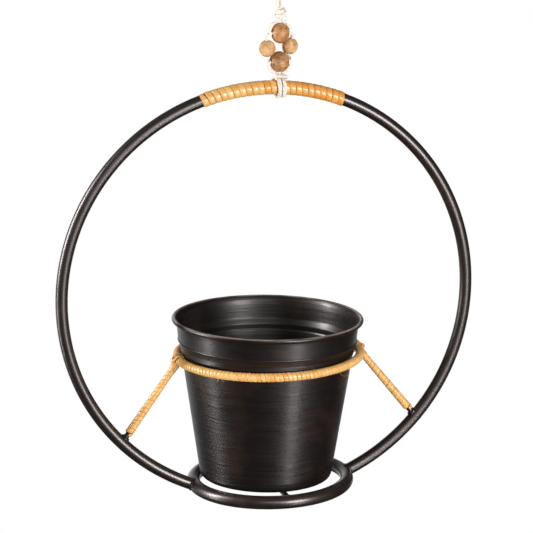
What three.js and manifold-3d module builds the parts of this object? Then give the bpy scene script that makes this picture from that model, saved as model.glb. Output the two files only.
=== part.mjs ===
// Hanging planter: a spun metal pot standing in a round tube hoop, bound with cane,
// and hung on a knotted cotton cord with four wooden beads.
// Millimetres, +Z up, +X to the right, -Y to the front. The origin is the top of the
// hanging eye, just under the end knot, where the hook bears.

import * as THREE from 'three';
import { mergeVertices } from 'three/addons/utils/BufferGeometryUtils.js';
import Module from 'manifold-3d';

const wasm = await Module();
wasm.setup();

// Clearances between pieces
const weldGap = 0.3;
const caneSeat = 0.33;
const rodSeat = 0.2;
const cordSeat = 0.3;
const potSeat = 0.3;
const faceGap = 0.3;
const hitchPlay = 1.45;
const hitchSpace = 0.6;

// Hoop: one tube bent to a circle, open at the bottom, where the base ring closes it
const hoopRadius = 170.4;
const hoopTube = 10.0;
const hoopWall = 1.0;
const hoopSides = 10;
const hoopSteps = 72;

// Base ring and the bar across it that carries the pot
const baseRadius = 63.7;
const baseTube = 11.0;
const barDiameter = 4.8;
const barRise = 1.4;

// Pot: radii are outside radii, and bodyTopHeight is measured from its underside
const potWall = 0.9;
const footRadius = 54.1;
const footCorner = 3.2;
const bodyTopHeight = 105.6;
const bodyRecess = 0.6;
const stepHeight = 1.2;
const bandHeight = 3.8;
const bandRecess = 2.0;
const coveHeight = 4.7;
const collarHeight = 12.0;
const collarTaper = 1.2;
const rimRadius = 77.0;
const rimFlare = 2.6;
const rimHeight = 7.5;
const rimBead = 3.4;
const potSegments = 48;

// How the pot stands on the bar: it leans to the right, and touches its ring on the left
const potLean = 1.5;
const potShift = -1.1;

// Ring round the pot, under its band: a rod bound all round with cane
const potRingDrop = 3.05;
const potRingClearance = 1.25;
const potRingRod = 5.2;
const ringStations = 44;
const ribsPerStation = 3;
const ringSides = 6;
const ribDepth = 0.4;

// Arms: straight rods from the hoop up to the pot ring
const armRod = 4.5;
const armFootLeft = 133.1;
const armFootRight = 132.2;
const armBare = 3.0;
const lashingReach = 9.0;
const lashingThickness = 1.35;

// Cane: flat strip, wound as one length on each piece
const caneThickness = 0.5;
const caneSpace = 0.5;
const hoopCanePitch = 5.2;
const hoopCaneTurns = 23;
const hoopCaneStart = -17.6;
const hoopCaneSteps = 14;
const armCanePitch = 4.0;
const armCaneSteps = 8;

// Cord and its knots
const cordDiameter = 2.6;
const cordSides = 8;
const hangDrop = 112.25;
const hitchOffset = 12.6;
const hitchX = 0.2;
const knotRadius = 5.0;
const knotHeight = 9.6;
const endKnotHeight = 9.0;
const middleKnotTop = -53.8;
const middleKnotX = 1.1;
const tailLength = 7.0;

// Beads: place of the centre, length along the hole, diameter, hole and lean
const pairHole = 6.2;
const singleHole = 4.0;
const beadTop = { at: [0.8, 0, -74.25], length: 13.2, diameter: 16.6, hole: pairHole };
const beadBottom = { at: [-0.2, 0, -97.25], length: 14.2, diameter: 16.5, hole: pairHole };
const beadLeft = { at: [-10.25, -0.8, -86.1], length: 12.7, diameter: 13.4, hole: singleHole };
const beadRight = { at: [9.5, 3.6, -85.65], length: 12.6, diameter: 12.9, hole: singleHole };
const leftBeadLean = 6;
const rightBeadLean = 13;
const beadEnd = 0.6;
const beadSegments = 16;

// Cord routes, as points along the middle of the cord
const strandLeftRoute = [
  [-1.70, 0.20, -107.40],
  [-2.15, 0.10, -106.55],
  [-3.40, -0.25, -106.20],
  [-5.70, -0.80, -105.25],
  [-8.00, -1.30, -103.30],
  [-9.60, -1.50, -101.30],
  [-10.00, -1.50, -99.30],
  [-9.00, -1.50, -97.70],
  [-6.90, -1.50, -97.25],
  [-3.60, -1.50, -97.25],
  [-0.20, -1.50, -97.25],
  [3.20, -1.50, -97.25],
  [6.30, -1.50, -97.25],
  [8.20, -1.20, -96.80],
  [9.00, 0.20, -95.50],
  [8.55, 2.00, -94.00],
  [8.00, 3.30, -92.20],
  [8.35, 3.60, -90.40],
  [9.50, 3.60, -85.65],
  [10.65, 3.60, -80.70],
  [11.15, 3.30, -78.60],
  [11.15, 1.70, -76.90],
  [10.50, -0.20, -75.50],
  [9.20, -1.30, -74.55],
  [7.20, -1.50, -74.25],
  [4.00, -1.50, -74.25],
  [0.80, -1.50, -74.25],
  [-2.60, -1.50, -74.25],
  [-5.80, -1.50, -74.25],
  [-8.00, -1.50, -73.60],
  [-8.90, -1.45, -71.90],
  [-8.60, -1.30, -69.80],
  [-7.40, -1.10, -67.80],
  [-5.50, -0.80, -66.40],
  [-3.30, -0.50, -65.60],
  [-1.75, -0.35, -65.15],
  [-1.30, -0.30, -64.35],
];
const strandRightRoute = [
  [2.10, 0.20, -107.40],
  [2.60, 0.35, -106.60],
  [4.00, 0.60, -105.70],
  [6.00, 0.90, -104.50],
  [8.00, 1.30, -102.70],
  [8.90, 1.50, -100.50],
  [8.30, 1.50, -98.30],
  [6.40, 1.50, -97.30],
  [3.20, 1.50, -97.25],
  [-0.20, 1.50, -97.25],
  [-3.60, 1.50, -97.25],
  [-6.20, 1.50, -97.25],
  [-8.10, 1.45, -96.70],
  [-9.10, 0.80, -95.30],
  [-9.30, -0.30, -93.60],
  [-9.60, -0.80, -91.60],
  [-10.25, -0.80, -86.10],
  [-10.80, -0.80, -80.90],
  [-10.90, -0.50, -79.00],
  [-10.60, 0.40, -77.10],
  [-9.60, 1.20, -75.40],
  [-8.00, 1.50, -74.40],
  [-5.80, 1.50, -74.25],
  [-2.60, 1.50, -74.25],
  [0.80, 1.50, -74.25],
  [4.00, 1.50, -74.25],
  [7.00, 1.50, -74.25],
  [8.70, 1.55, -73.30],
  [9.10, 1.55, -71.40],
  [8.50, 1.40, -69.40],
  [7.20, 1.10, -67.40],
  [5.60, 0.80, -66.00],
  [4.20, 0.50, -65.30],
  [3.10, 0.35, -64.95],
  [2.70, 0.30, -64.35],
];
// One side of the hanging eye, from the middle knot up; the other side mirrors it
const eyeRoute = [
  [1.50, 0, -53.50],
  [1.50, 0, -50.00],
  [1.60, 0, -46.00],
  [2.30, 0, -42.00],
  [4.20, 0, -37.50],
  [6.90, 0, -32.30],
  [9.00, 0, -26.80],
  [9.70, 0, -21.00],
  [9.20, 0, -15.80],
  [7.50, 0, -11.00],
  [5.00, 0, -7.00],
  [2.90, 0, -3.60],
  [1.70, 0, -1.60],
  [1.60, 0, 0],
];

// Finishes
const blackPaint = new THREE.MeshStandardMaterial({ color: 0x2a2523, roughness: 0.42, metalness: 0.35 });
const potPaint = new THREE.MeshStandardMaterial({ color: 0x2c2624, roughness: 0.38, metalness: 0.45 });
const cane = new THREE.MeshStandardMaterial({ color: 0xe2a857, roughness: 0.5, metalness: 0 });
const cotton = new THREE.MeshStandardMaterial({ color: 0xefe6d6, roughness: 0.95, metalness: 0 });
const darkWood = new THREE.MeshStandardMaterial({ color: 0x9a6c42, roughness: 0.55, metalness: 0 });
const paleWood = new THREE.MeshStandardMaterial({ color: 0xd3a373, roughness: 0.55, metalness: 0 });

// Sizes that follow from the ones above
const radians = THREE.MathUtils.degToRad;
const hoopCaneInner = hoopTube / 2 + caneSeat;
const hoopCaneOuter = hoopCaneInner + caneThickness;
const hitchAngle = Math.asin(hitchOffset / hoopRadius);
const hoopCentre = new THREE.Vector3(
  hitchX - hitchOffset,
  0,
  -hangDrop - hoopCaneOuter - hoopRadius * Math.cos(hitchAngle),
);
const baseZ = -Math.sqrt(hoopRadius ** 2 - baseRadius ** 2);
const barZ = baseZ + barRise;
const potZ = barZ + barDiameter / 2 + potSeat;
const collarTopRadius = rimRadius - rimFlare;
const collarLowRadius = collarTopRadius - collarTaper;
const bandRadius = collarLowRadius - bandRecess;
const bodyTopRadius = bandRadius - bodyRecess;
const bandBottomHeight = bodyTopHeight + stepHeight;
const bandTopHeight = bandBottomHeight + bandHeight;
const collarLowHeight = bandTopHeight + coveHeight;
const collarTopHeight = collarLowHeight + collarHeight;
const potHeight = collarTopHeight + rimHeight;
const ringCaneInner = potRingRod / 2 + rodSeat;
const ringCaneOuter = ringCaneInner + caneThickness + ribDepth;
const ringHeight = bandBottomHeight - potRingDrop;
const radiusAtRing = THREE.MathUtils.lerp(footRadius, bodyTopRadius, ringHeight / bodyTopHeight);
const potRingRadius = radiusAtRing + potRingClearance + ringCaneOuter;
const potRingZ = potZ + ringHeight;
const potX = potShift - ringHeight * Math.sin(radians(potLean));
const armCaneInner = armRod / 2 + caneSeat;
const cordRadius = cordDiameter / 2;

// A circle in the XZ plane, with angles from the top towards +X
class HoopPath extends THREE.Curve {
  constructor(radius, from, to) {
    super();
    this.radius = radius;
    this.from = from;
    this.to = to;
  }

  getPoint(t, target = new THREE.Vector3()) {
    const angle = this.from + (this.to - this.from) * t;
    return target.set(this.radius * Math.sin(angle), 0, this.radius * Math.cos(angle));
  }
}

// A circle in the XY plane, with angles from +X towards +Y
class RingPath extends THREE.Curve {
  constructor(radius, from, to) {
    super();
    this.radius = radius;
    this.from = from;
    this.to = to;
  }

  getPoint(t, target = new THREE.Vector3()) {
    const angle = this.from + (this.to - this.from) * t;
    return target.set(this.radius * Math.cos(angle), this.radius * Math.sin(angle), 0);
  }
}

function polygon(radius, sides, phase) {
  const shape = new THREE.Shape();
  for (let i = 0; i < sides; i++) {
    const angle = phase + (2 * Math.PI * i) / sides;
    const x = radius * Math.cos(angle);
    const y = radius * Math.sin(angle);
    if (i === 0) {
      shape.moveTo(x, y);
    } else {
      shape.lineTo(x, y);
    }
  }
  shape.closePath();
  return shape;
}

function tubeAlong(path, radius, steps, sides, phase = 0) {
  return new THREE.ExtrudeGeometry(polygon(radius, sides, phase), {
    steps,
    extrudePath: path,
    bevelEnabled: false,
    curveSegments: 1,
  });
}

function rodAlongY(radius, length, sides) {
  return new THREE.CylinderGeometry(radius, radius, length, sides);
}

// A profile of [radius, height] points turned about Z
function turned(profile, segments) {
  const points = profile.map(([radius, height]) => new THREE.Vector2(radius, height));
  return outward(new THREE.LatheGeometry(points, segments).rotateX(Math.PI / 2));
}

// Joins rings of points into a skin, closed on itself or capped at its two ends
function loft(rings, closed) {
  const sides = rings[0].length;
  const positions = rings.flat().flatMap((point) => point.toArray());
  const indices = [];
  const spans = closed ? rings.length : rings.length - 1;
  for (let i = 0; i < spans; i++) {
    const here = i * sides;
    const next = ((i + 1) % rings.length) * sides;
    for (let j = 0; j < sides; j++) {
      const k = (j + 1) % sides;
      indices.push(here + j, next + j, next + k, here + j, next + k, here + k);
    }
  }
  if (!closed) {
    const last = (rings.length - 1) * sides;
    for (let j = 1; j < sides - 1; j++) {
      indices.push(0, j, j + 1, last, last + j + 1, last + j);
    }
  }
  const geometry = new THREE.BufferGeometry();
  geometry.setAttribute('position', new THREE.Float32BufferAttribute(positions, 3));
  geometry.setIndex(indices);
  return outward(geometry);
}

// Turns the faces of a closed skin outwards
function outward(geometry) {
  const plain = geometry.index ? geometry.toNonIndexed() : geometry;
  const position = plain.attributes.position;
  const corners = [new THREE.Vector3(), new THREE.Vector3(), new THREE.Vector3()];
  let volume = 0;
  for (let i = 0; i < position.count; i += 3) {
    corners.forEach((corner, j) => corner.fromBufferAttribute(position, i + j));
    volume += corners[0].dot(corners[1].clone().cross(corners[2]));
  }
  if (volume < 0 && geometry.index) {
    const index = geometry.index.array;
    for (let i = 0; i < index.length; i += 3) {
      [index[i + 1], index[i + 2]] = [index[i + 2], index[i + 1]];
    }
  }
  return geometry;
}

function asSolid(geometry) {
  const copy = geometry.clone();
  copy.deleteAttribute('normal');
  copy.deleteAttribute('uv');
  const merged = mergeVertices(copy, 1e-4);
  return new wasm.Manifold(new wasm.Mesh({
    numProp: 3,
    vertProperties: new Float32Array(merged.attributes.position.array),
    triVerts: new Uint32Array(merged.index.array),
  }));
}

function asGeometry(solid) {
  const mesh = solid.getMesh();
  const geometry = new THREE.BufferGeometry();
  geometry.setAttribute('position', new THREE.BufferAttribute(mesh.vertProperties, 3));
  geometry.setIndex(new THREE.BufferAttribute(mesh.triVerts, 1));
  return geometry;
}

function named(name, geometry, material) {
  const mesh = new THREE.Mesh(geometry, material);
  mesh.name = name;
  return mesh;
}

// Where a winding runs: a point on the core's axis and two directions square to it
function hoopAt(s) {
  const angle = s / hoopRadius;
  const first = new THREE.Vector3(Math.sin(angle), 0, Math.cos(angle));
  return { origin: first.clone().multiplyScalar(hoopRadius), first, second: new THREE.Vector3(0, -1, 0) };
}

function ringAt(angle) {
  const first = new THREE.Vector3(Math.cos(angle), Math.sin(angle), 0);
  return { origin: first.clone().multiplyScalar(potRingRadius), first, second: new THREE.Vector3(0, 0, -1) };
}

function around(place, angle, radius) {
  return place.origin.clone()
    .addScaledVector(place.first, radius * Math.cos(angle))
    .addScaledVector(place.second, radius * Math.sin(angle));
}

// One flat strip wound round a core, and the least gap between its turns
function windStrip(name, placeAt, winding) {
  const { start, pitch, turns, steps, inner } = winding;
  const half = (pitch - caneSpace) / 2;
  const rings = [];
  for (let i = 0; i <= turns * steps; i++) {
    const angle = (2 * Math.PI * i) / steps;
    const s = start + (pitch * i) / steps;
    const corners = [[-half, 0], [half, 0], [half, caneThickness], [-half, caneThickness]];
    rings.push(corners.map(([along, lift]) => around(placeAt(s + along), angle, inner + lift)));
  }
  let least = Infinity;
  for (let i = 0; i + steps < rings.length; i++) {
    for (const a of rings[i]) {
      for (const b of rings[i + steps]) {
        least = Math.min(least, a.distanceTo(b));
      }
    }
  }
  console.log(`${name}: ${turns} turns, least gap between turns ${least.toFixed(2)} mm`);
  return loft(rings, false);
}

// A sleeve of slanting ribs round part of the pot ring, with its bore
function ribbedSleeve(firstStation, stations) {
  const stationAngle = (2 * Math.PI) / ringStations;
  const from = (firstStation + 0.5) * stationAngle;
  const ribs = stations * ribsPerStation;
  const ribAngle = stationAngle / ribsPerStation;
  const valley = ringCaneInner + caneThickness;
  const rings = [];
  const ringOf = (angle, radius, lean) => Array.from({ length: ringSides }, (_, j) => {
    const turn = (2 * Math.PI * j) / ringSides;
    return around(ringAt(angle + lean * Math.cos(turn)), turn, radius);
  });
  for (let i = 0; i < ribs; i++) {
    const start = from + i * ribAngle;
    rings.push(ringOf(start, valley, i === 0 ? 0 : ribAngle * 0.25));
    rings.push(ringOf(start + ribAngle / 2, valley + ribDepth, ribAngle * 0.25));
  }
  rings.push(ringOf(from + ribs * ribAngle, valley, 0));
  for (let i = stations; i >= 0; i--) {
    rings.push(ringOf(from + i * stationAngle, ringCaneInner, 0));
  }
  return loft(rings, true);
}

// Hoop
function hoopSolid(radius, sides = hoopSides) {
  const end = Math.PI - Math.atan2(baseRadius, -baseZ);
  const path = new HoopPath(hoopRadius, -end, end);
  return asSolid(tubeAlong(path, radius, hoopSteps, sides, Math.PI / sides));
}

function makeHoop() {
  const bore = hoopSolid(hoopTube / 2 - hoopWall, 6);
  return asGeometry(hoopSolid(hoopTube / 2).subtract(bore).subtract(baseSolid(weldGap)));
}

function baseSolid(extra) {
  const torus = new THREE.TorusGeometry(baseRadius, baseTube / 2 + extra, 10, 40);
  return asSolid(torus.translate(0, 0, baseZ));
}

function makeBar() {
  const bar = rodAlongY(barDiameter / 2, 2 * baseRadius, 12).translate(0, 0, barZ);
  return asGeometry(asSolid(bar).subtract(baseSolid(weldGap)));
}

// Pot
function potProfile() {
  const slope = (bodyTopRadius - footRadius) / bodyTopHeight;
  const bead = { x: rimRadius, y: potHeight - rimBead / 2, r: rimBead / 2 };
  const onBead = (degrees) => [
    bead.x + bead.r * Math.cos(radians(degrees)),
    bead.y + bead.r * Math.sin(radians(degrees)),
  ];
  const underBead = onBead(-140);
  const flareRadius = THREE.MathUtils.lerp(collarTopRadius, underBead[0], 0.45);
  const flareHeight = THREE.MathUtils.lerp(collarTopHeight, underBead[1], 0.7);
  const corner = [90, 60, 30, 0].map((degrees) => [
    footRadius - footCorner + footCorner * Math.cos(radians(degrees)),
    footCorner - footCorner * Math.sin(radians(degrees)),
  ]);
  const outside = [
    [0, 0],
    ...corner,
    [bodyTopRadius, bodyTopHeight],
    [bandRadius, bandBottomHeight],
    [bandRadius, bandTopHeight],
    [collarLowRadius, collarLowHeight],
    [collarTopRadius, collarTopHeight],
    [flareRadius, flareHeight],
    underBead,
    onBead(-80),
    onBead(-20),
    onBead(40),
    onBead(100),
  ];
  const inside = [
    [underBead[0] - potWall, underBead[1] + rimBead / 2],
    [flareRadius - potWall, flareHeight + potWall / 3],
    [collarTopRadius - potWall, collarTopHeight],
    [collarLowRadius - potWall, collarLowHeight + potWall / 2],
    [bandRadius - potWall, bandTopHeight + potWall / 2],
    [bandRadius - potWall, bandBottomHeight],
    [bodyTopRadius - potWall, bodyTopHeight],
    [footRadius + slope * footCorner - potWall, footCorner + potWall],
    [footRadius - footCorner, potWall],
    [0, potWall],
  ];
  return [...outside, ...inside];
}

// Pot ring, with its two sleeves of cane and the lashings at the arms
function potRingSolid(extra) {
  const torus = new THREE.TorusGeometry(potRingRadius, potRingRod / 2 + extra, ringSides, ringStations);
  return asSolid(torus.rotateZ(Math.PI / ringStations).translate(0, 0, potRingZ));
}

// The arm on one side, as its foot on the hoop and its direction up to the pot ring
function armLine(side) {
  const angle = radians(side < 0 ? armFootLeft : armFootRight) * side;
  const foot = new THREE.Vector3(hoopRadius * Math.sin(angle), 0, hoopRadius * Math.cos(angle));
  const head = new THREE.Vector3(potRingRadius * side, 0, potRingZ);
  const direction = head.clone().sub(foot);
  const length = direction.length();
  return { foot, direction: direction.normalize(), length };
}

function rodOn(line, radius, from, to, sides) {
  const rod = rodAlongY(radius, to - from, sides);
  const turn = new THREE.Quaternion().setFromUnitVectors(new THREE.Vector3(0, 1, 0), line.direction);
  const middle = line.foot.clone().addScaledVector(line.direction, (from + to) / 2);
  return rod.applyQuaternion(turn).translate(middle.x, middle.y, middle.z);
}

function makeArm(side) {
  const line = armLine(side);
  const rod = asSolid(rodOn(line, armRod / 2, 0, line.length, 8));
  return asGeometry(rod.subtract(hoopSolid(hoopTube / 2 + weldGap)).subtract(potRingSolid(weldGap)));
}

function makeLashing(side) {
  const line = armLine(side);
  const reach = Math.PI / ringStations - faceGap / potRingRadius;
  const middle = side > 0 ? 0 : Math.PI;
  const path = new RingPath(potRingRadius, middle - reach, middle + reach);
  const sleeve = tubeAlong(path, ringCaneInner + lashingThickness, 4, 10).translate(0, 0, potRingZ);
  const collar = rodOn(line, armRod / 2 + lashingThickness, line.length - lashingReach, line.length, 10);
  const body = asSolid(sleeve).add(asSolid(collar));
  const armSpace = rodOn(line, armRod / 2 + rodSeat, 0, line.length, 8);
  return asGeometry(body.subtract(potRingSolid(rodSeat)).subtract(asSolid(armSpace)));
}

function windArm(name, side) {
  const line = armLine(side);
  const first = new THREE.Vector3(0, -1, 0);
  const second = line.direction.clone().cross(first);
  const placeAt = (s) => ({ origin: line.foot.clone().addScaledVector(line.direction, s), first, second });
  const from = hoopTube / 2 + armBare;
  const space = line.length - lashingReach - faceGap - from;
  const turns = Math.floor(space / armCanePitch - 1);
  const start = from + (space - turns * armCanePitch) / 2;
  return windStrip(name, placeAt, {
    start, pitch: armCanePitch, turns, steps: armCaneSteps, inner: armCaneInner,
  });
}

// Cord
function cordAlong(points, steps) {
  const path = new THREE.CatmullRomCurve3(points.map((point) => new THREE.Vector3(...point)));
  return tubeAlong(path, cordRadius, steps, cordSides);
}

// The cow hitch round the bound hoop: up the front twice, with a bar across the top.
// Points are [across, angle from the front up over the top, distance from the hoop's axis].
function hitchPoints() {
  const lap = hoopCaneOuter + cordSeat + cordRadius;
  const over = lap + cordDiameter + hitchSpace;
  const end = strandLeftRoute[0][2] - hitchPlay + hangDrop + hoopCaneOuter;
  const polar = ([across, degrees, distance]) => [
    across,
    -distance * Math.cos(radians(degrees)),
    distance * Math.sin(radians(degrees)),
  ];
  const leg = [
    [1.9, 65, lap],
    [1.9, 35, lap],
    [1.9, 0, lap],
    [1.95, -35, lap],
    [2.1, -70, lap],
    [2.4, -105, lap],
    [2.9, -140, lap],
    [3.5, -175, lap],
    [4.2, -210, lap],
    [4.8, -240, lap + 0.1],
    [5.1, -267, lap + 0.4],
    [4.8, -288, lap + 1.7],
    [2.8, -294, over - 0.1],
  ].map(polar);
  const side = [[1.9, 0.2, end], [1.8, -0.1, end - 1.5], ...leg];
  const left = side.map(([x, y, z]) => [-x, y, z]);
  return [...left, polar([0, -294, over + 0.1]), ...side.slice().reverse()];
}

function makeHitch() {
  const points = hitchPoints().map((point) => new THREE.Vector3(...point));
  const path = new THREE.CatmullRomCurve3(points);
  const samples = path.getSpacedPoints(160);
  const spacing = path.getLength() / 160;
  const apart = Math.ceil((3 * cordDiameter) / spacing);
  let least = Infinity;
  samples.forEach((a, i) => {
    samples.slice(i + apart).forEach((b) => {
      least = Math.min(least, a.distanceTo(b) - cordDiameter);
    });
  });
  console.log(`cord_hitch: 2 loops, least gap to itself ${least.toFixed(2)} mm`);
  return tubeAlong(path, cordRadius, 44, cordSides);
}

function makeKnot(height) {
  const profile = [[0, 0], [0.62, 0], [0.92, 0.18], [1, 0.45], [0.94, 0.72], [0.6, 1], [0, 1]];
  return turned(profile.map(([r, h]) => [r * knotRadius, h * height]), 12);
}

function makeBead(bead) {
  const half = bead.length / 2;
  const radius = bead.diameter / 2;
  const hole = bead.hole / 2;
  const endRadius = hole + beadEnd;
  const sweep = Math.acos(endRadius / radius);
  const stretch = half / Math.sin(sweep);
  const profile = [[hole, -half]];
  for (let i = 0; i <= 6; i++) {
    const angle = sweep * (i / 3 - 1);
    profile.push([radius * Math.cos(angle), stretch * Math.sin(angle)]);
  }
  profile.push([hole, half], [hole, -half]);
  return turned(profile, beadSegments);
}

// Assembly
const planter = new THREE.Group();

const frame = new THREE.Group();
frame.position.copy(hoopCentre);
planter.add(frame);

frame.add(named('hoop_tube', makeHoop(), blackPaint));
frame.add(named('base_ring', asGeometry(baseSolid(0)), blackPaint));
frame.add(named('crossbar', makeBar(), blackPaint));
frame.add(named('pot_ring_rod', asGeometry(potRingSolid(0)), blackPaint));
frame.add(named('hoop_cane', windStrip('hoop_cane', hoopAt, {
  start: hoopRadius * radians(hoopCaneStart),
  pitch: hoopCanePitch,
  turns: hoopCaneTurns,
  steps: hoopCaneSteps,
  inner: hoopCaneInner,
}), cane));
for (const [word, side] of [['left', -1], ['right', 1]]) {
  frame.add(named(`arm_rod_${word}`, makeArm(side), blackPaint));
  frame.add(named(`arm_cane_${word}`, windArm(`arm_cane_${word}`, side), cane));
  frame.add(named(`ring_lashing_${word}`, makeLashing(side), cane));
}
const half = ringStations / 2;
for (const [word, station] of [['back', 0], ['front', half]]) {
  const sleeve = named(`ring_cane_${word}`, ribbedSleeve(station, half - 1), cane);
  sleeve.position.z = potRingZ;
  frame.add(sleeve);
}

const pot = named('pot', turned(potProfile(), potSegments), potPaint);
pot.position.set(potX, 0, potZ - potX * Math.tan(radians(potLean)));
pot.rotation.y = radians(potLean);
frame.add(pot);

const hitch = named('cord_hitch', makeHitch(), cotton);
hitch.position.set(hitchX, 0, -hangDrop - hoopCaneOuter);
planter.add(hitch);

planter.add(named('cord_strand_left', cordAlong(strandLeftRoute, 36), cotton));
planter.add(named('cord_strand_right', cordAlong(strandRightRoute, 36), cotton));
for (const [word, side] of [['left', -1], ['right', 1]]) {
  const route = eyeRoute.map(([x, y, z]) => [x * side, y, z]);
  planter.add(named(`cord_eye_${word}`, cordAlong(route, 12), cotton));
  const tail = rodAlongY(cordRadius, tailLength, cordSides).rotateX(Math.PI / 2);
  const tailMesh = named(`cord_tail_${word}`, tail, cotton);
  tailMesh.position.set(side * (cordRadius + faceGap), 0, endKnotHeight + 2 * faceGap + tailLength / 2);
  planter.add(tailMesh);
}

const middleKnot = named('middle_knot', makeKnot(knotHeight), cotton);
middleKnot.position.set(middleKnotX, 0, middleKnotTop - knotHeight);
planter.add(middleKnot);
const endKnot = named('end_knot', makeKnot(endKnotHeight), cotton);
endKnot.position.z = faceGap;
planter.add(endKnot);

const beads = [
  ['bead_top', beadTop, 90, darkWood],
  ['bead_bottom', beadBottom, 90, darkWood],
  ['bead_left', beadLeft, -leftBeadLean, paleWood],
  ['bead_right', beadRight, rightBeadLean, paleWood],
];
for (const [name, bead, lean, wood] of beads) {
  const mesh = named(name, makeBead(bead), wood);
  mesh.position.set(...bead.at);
  mesh.rotation.y = radians(lean);
  planter.add(mesh);
}

export default planter;
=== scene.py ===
"""Hanging planter: a spun steel pot in a tube hoop, bound with cane and hung on a beaded cotton cord."""

import math
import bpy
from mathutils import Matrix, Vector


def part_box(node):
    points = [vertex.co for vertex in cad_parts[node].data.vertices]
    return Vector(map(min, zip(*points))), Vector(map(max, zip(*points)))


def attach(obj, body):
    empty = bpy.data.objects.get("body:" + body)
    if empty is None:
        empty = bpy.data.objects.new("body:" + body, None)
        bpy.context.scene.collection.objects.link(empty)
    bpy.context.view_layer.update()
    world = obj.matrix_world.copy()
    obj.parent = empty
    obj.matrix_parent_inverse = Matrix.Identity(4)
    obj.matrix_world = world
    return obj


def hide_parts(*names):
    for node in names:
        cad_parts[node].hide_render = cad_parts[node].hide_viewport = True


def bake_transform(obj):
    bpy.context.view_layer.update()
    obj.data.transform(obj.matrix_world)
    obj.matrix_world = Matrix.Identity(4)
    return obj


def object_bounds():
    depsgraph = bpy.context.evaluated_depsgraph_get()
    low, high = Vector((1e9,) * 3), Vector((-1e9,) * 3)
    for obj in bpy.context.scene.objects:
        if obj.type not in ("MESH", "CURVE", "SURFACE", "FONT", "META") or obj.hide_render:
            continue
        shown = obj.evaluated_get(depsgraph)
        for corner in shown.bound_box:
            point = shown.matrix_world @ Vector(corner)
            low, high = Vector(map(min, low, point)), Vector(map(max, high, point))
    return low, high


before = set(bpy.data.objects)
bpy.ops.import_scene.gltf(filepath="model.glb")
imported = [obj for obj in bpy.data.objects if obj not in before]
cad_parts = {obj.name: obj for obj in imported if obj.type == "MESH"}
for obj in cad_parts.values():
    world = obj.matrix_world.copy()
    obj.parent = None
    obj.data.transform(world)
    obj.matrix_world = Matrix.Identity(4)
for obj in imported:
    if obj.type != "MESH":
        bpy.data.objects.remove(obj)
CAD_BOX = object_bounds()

from types import SimpleNamespace

import bmesh
import bpy
import numpy as np
from bpy.props import FloatProperty, FloatVectorProperty, IntProperty, PointerProperty
from mathutils import Matrix, Vector

bl_info = {
    "name": "Hanging planter",
    "version": (1, 0, 0),
    "blender": (4, 5, 0),
    "location": "View3D > Sidebar > Planter",
    "description": "Builds a hanging planter with its pot, hoop, cane bindings, cord and beads",
    "category": "Object",
}

MM = 0.001

# Seats between pieces, as in the solids
CANE_SEAT = 0.33 * MM
ROD_SEAT = 0.2 * MM
POT_SEAT = 0.3 * MM
HITCH_SEAT = 0.3 * MM

# How far the pot's band stands in from its rim and its body in from the band, and the play of the bound ring
BAND_INSET = 5.8 * MM
BODY_INSET = 0.6 * MM
RING_PLAY = 0.4 * MM

# Distance between two rings of points along a cord, and the angle from which an edge stays crisp
CORD_STEP = 0.35 * MM
CRISP_EDGE = math.radians(50)

SIDES = ((-1, "left"), (1, "right"))
MIRROR = np.array([-1, 1, 1])

# Middles of the two cords between hitch and middle knot, in millimetres
STRAND_LEFT = [
    (-1.7, 0.2, -107.4), (-2.15, 0.1, -106.55), (-3.4, -0.25, -106.2), (-5.7, -0.8, -105.25),
    (-8, -1.3, -103.3), (-9.6, -1.5, -101.3), (-10, -1.5, -99.3), (-9, -1.5, -97.7),
    (-6.9, -1.5, -97.25), (-3.6, -1.5, -97.25), (-0.2, -1.5, -97.25), (3.2, -1.5, -97.25),
    (6.3, -1.5, -97.25), (8.2, -1.2, -96.8), (9, 0.2, -95.5), (8.55, 2, -94),
    (8, 3.3, -92.2), (8.35, 3.6, -90.4), (9.5, 3.6, -85.65), (10.65, 3.6, -80.7),
    (11.15, 3.3, -78.6), (11.15, 1.7, -76.9), (10.5, -0.2, -75.5), (9.2, -1.3, -74.55),
    (7.2, -1.5, -74.25), (4, -1.5, -74.25), (0.8, -1.5, -74.25), (-2.6, -1.5, -74.25),
    (-5.8, -1.5, -74.25), (-8, -1.5, -73.6), (-8.9, -1.45, -71.9), (-8.6, -1.3, -69.8),
    (-7.4, -1.1, -67.8), (-5.5, -0.8, -66.4), (-3.3, -0.5, -65.6), (-1.75, -0.35, -65.15),
    (-1.3, -0.3, -64.35),
]
STRAND_RIGHT = [
    (2.1, 0.2, -107.4), (2.6, 0.35, -106.6), (4, 0.6, -105.7), (6, 0.9, -104.5),
    (8, 1.3, -102.7), (8.9, 1.5, -100.5), (8.3, 1.5, -98.3), (6.4, 1.5, -97.3),
    (3.2, 1.5, -97.25), (-0.2, 1.5, -97.25), (-3.6, 1.5, -97.25), (-6.2, 1.5, -97.25),
    (-8.1, 1.45, -96.7), (-9.1, 0.8, -95.3), (-9.3, -0.3, -93.6), (-9.6, -0.8, -91.6),
    (-10.25, -0.8, -86.1), (-10.8, -0.8, -80.9), (-10.9, -0.5, -79), (-10.6, 0.4, -77.1),
    (-9.6, 1.2, -75.4), (-8, 1.5, -74.4), (-5.8, 1.5, -74.25), (-2.6, 1.5, -74.25),
    (0.8, 1.5, -74.25), (4, 1.5, -74.25), (7, 1.5, -74.25), (8.7, 1.55, -73.3),
    (9.1, 1.55, -71.4), (8.5, 1.4, -69.4), (7.2, 1.1, -67.4), (5.6, 0.8, -66),
    (4.2, 0.5, -65.3), (3.1, 0.35, -64.95), (2.7, 0.3, -64.35),
]
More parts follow.
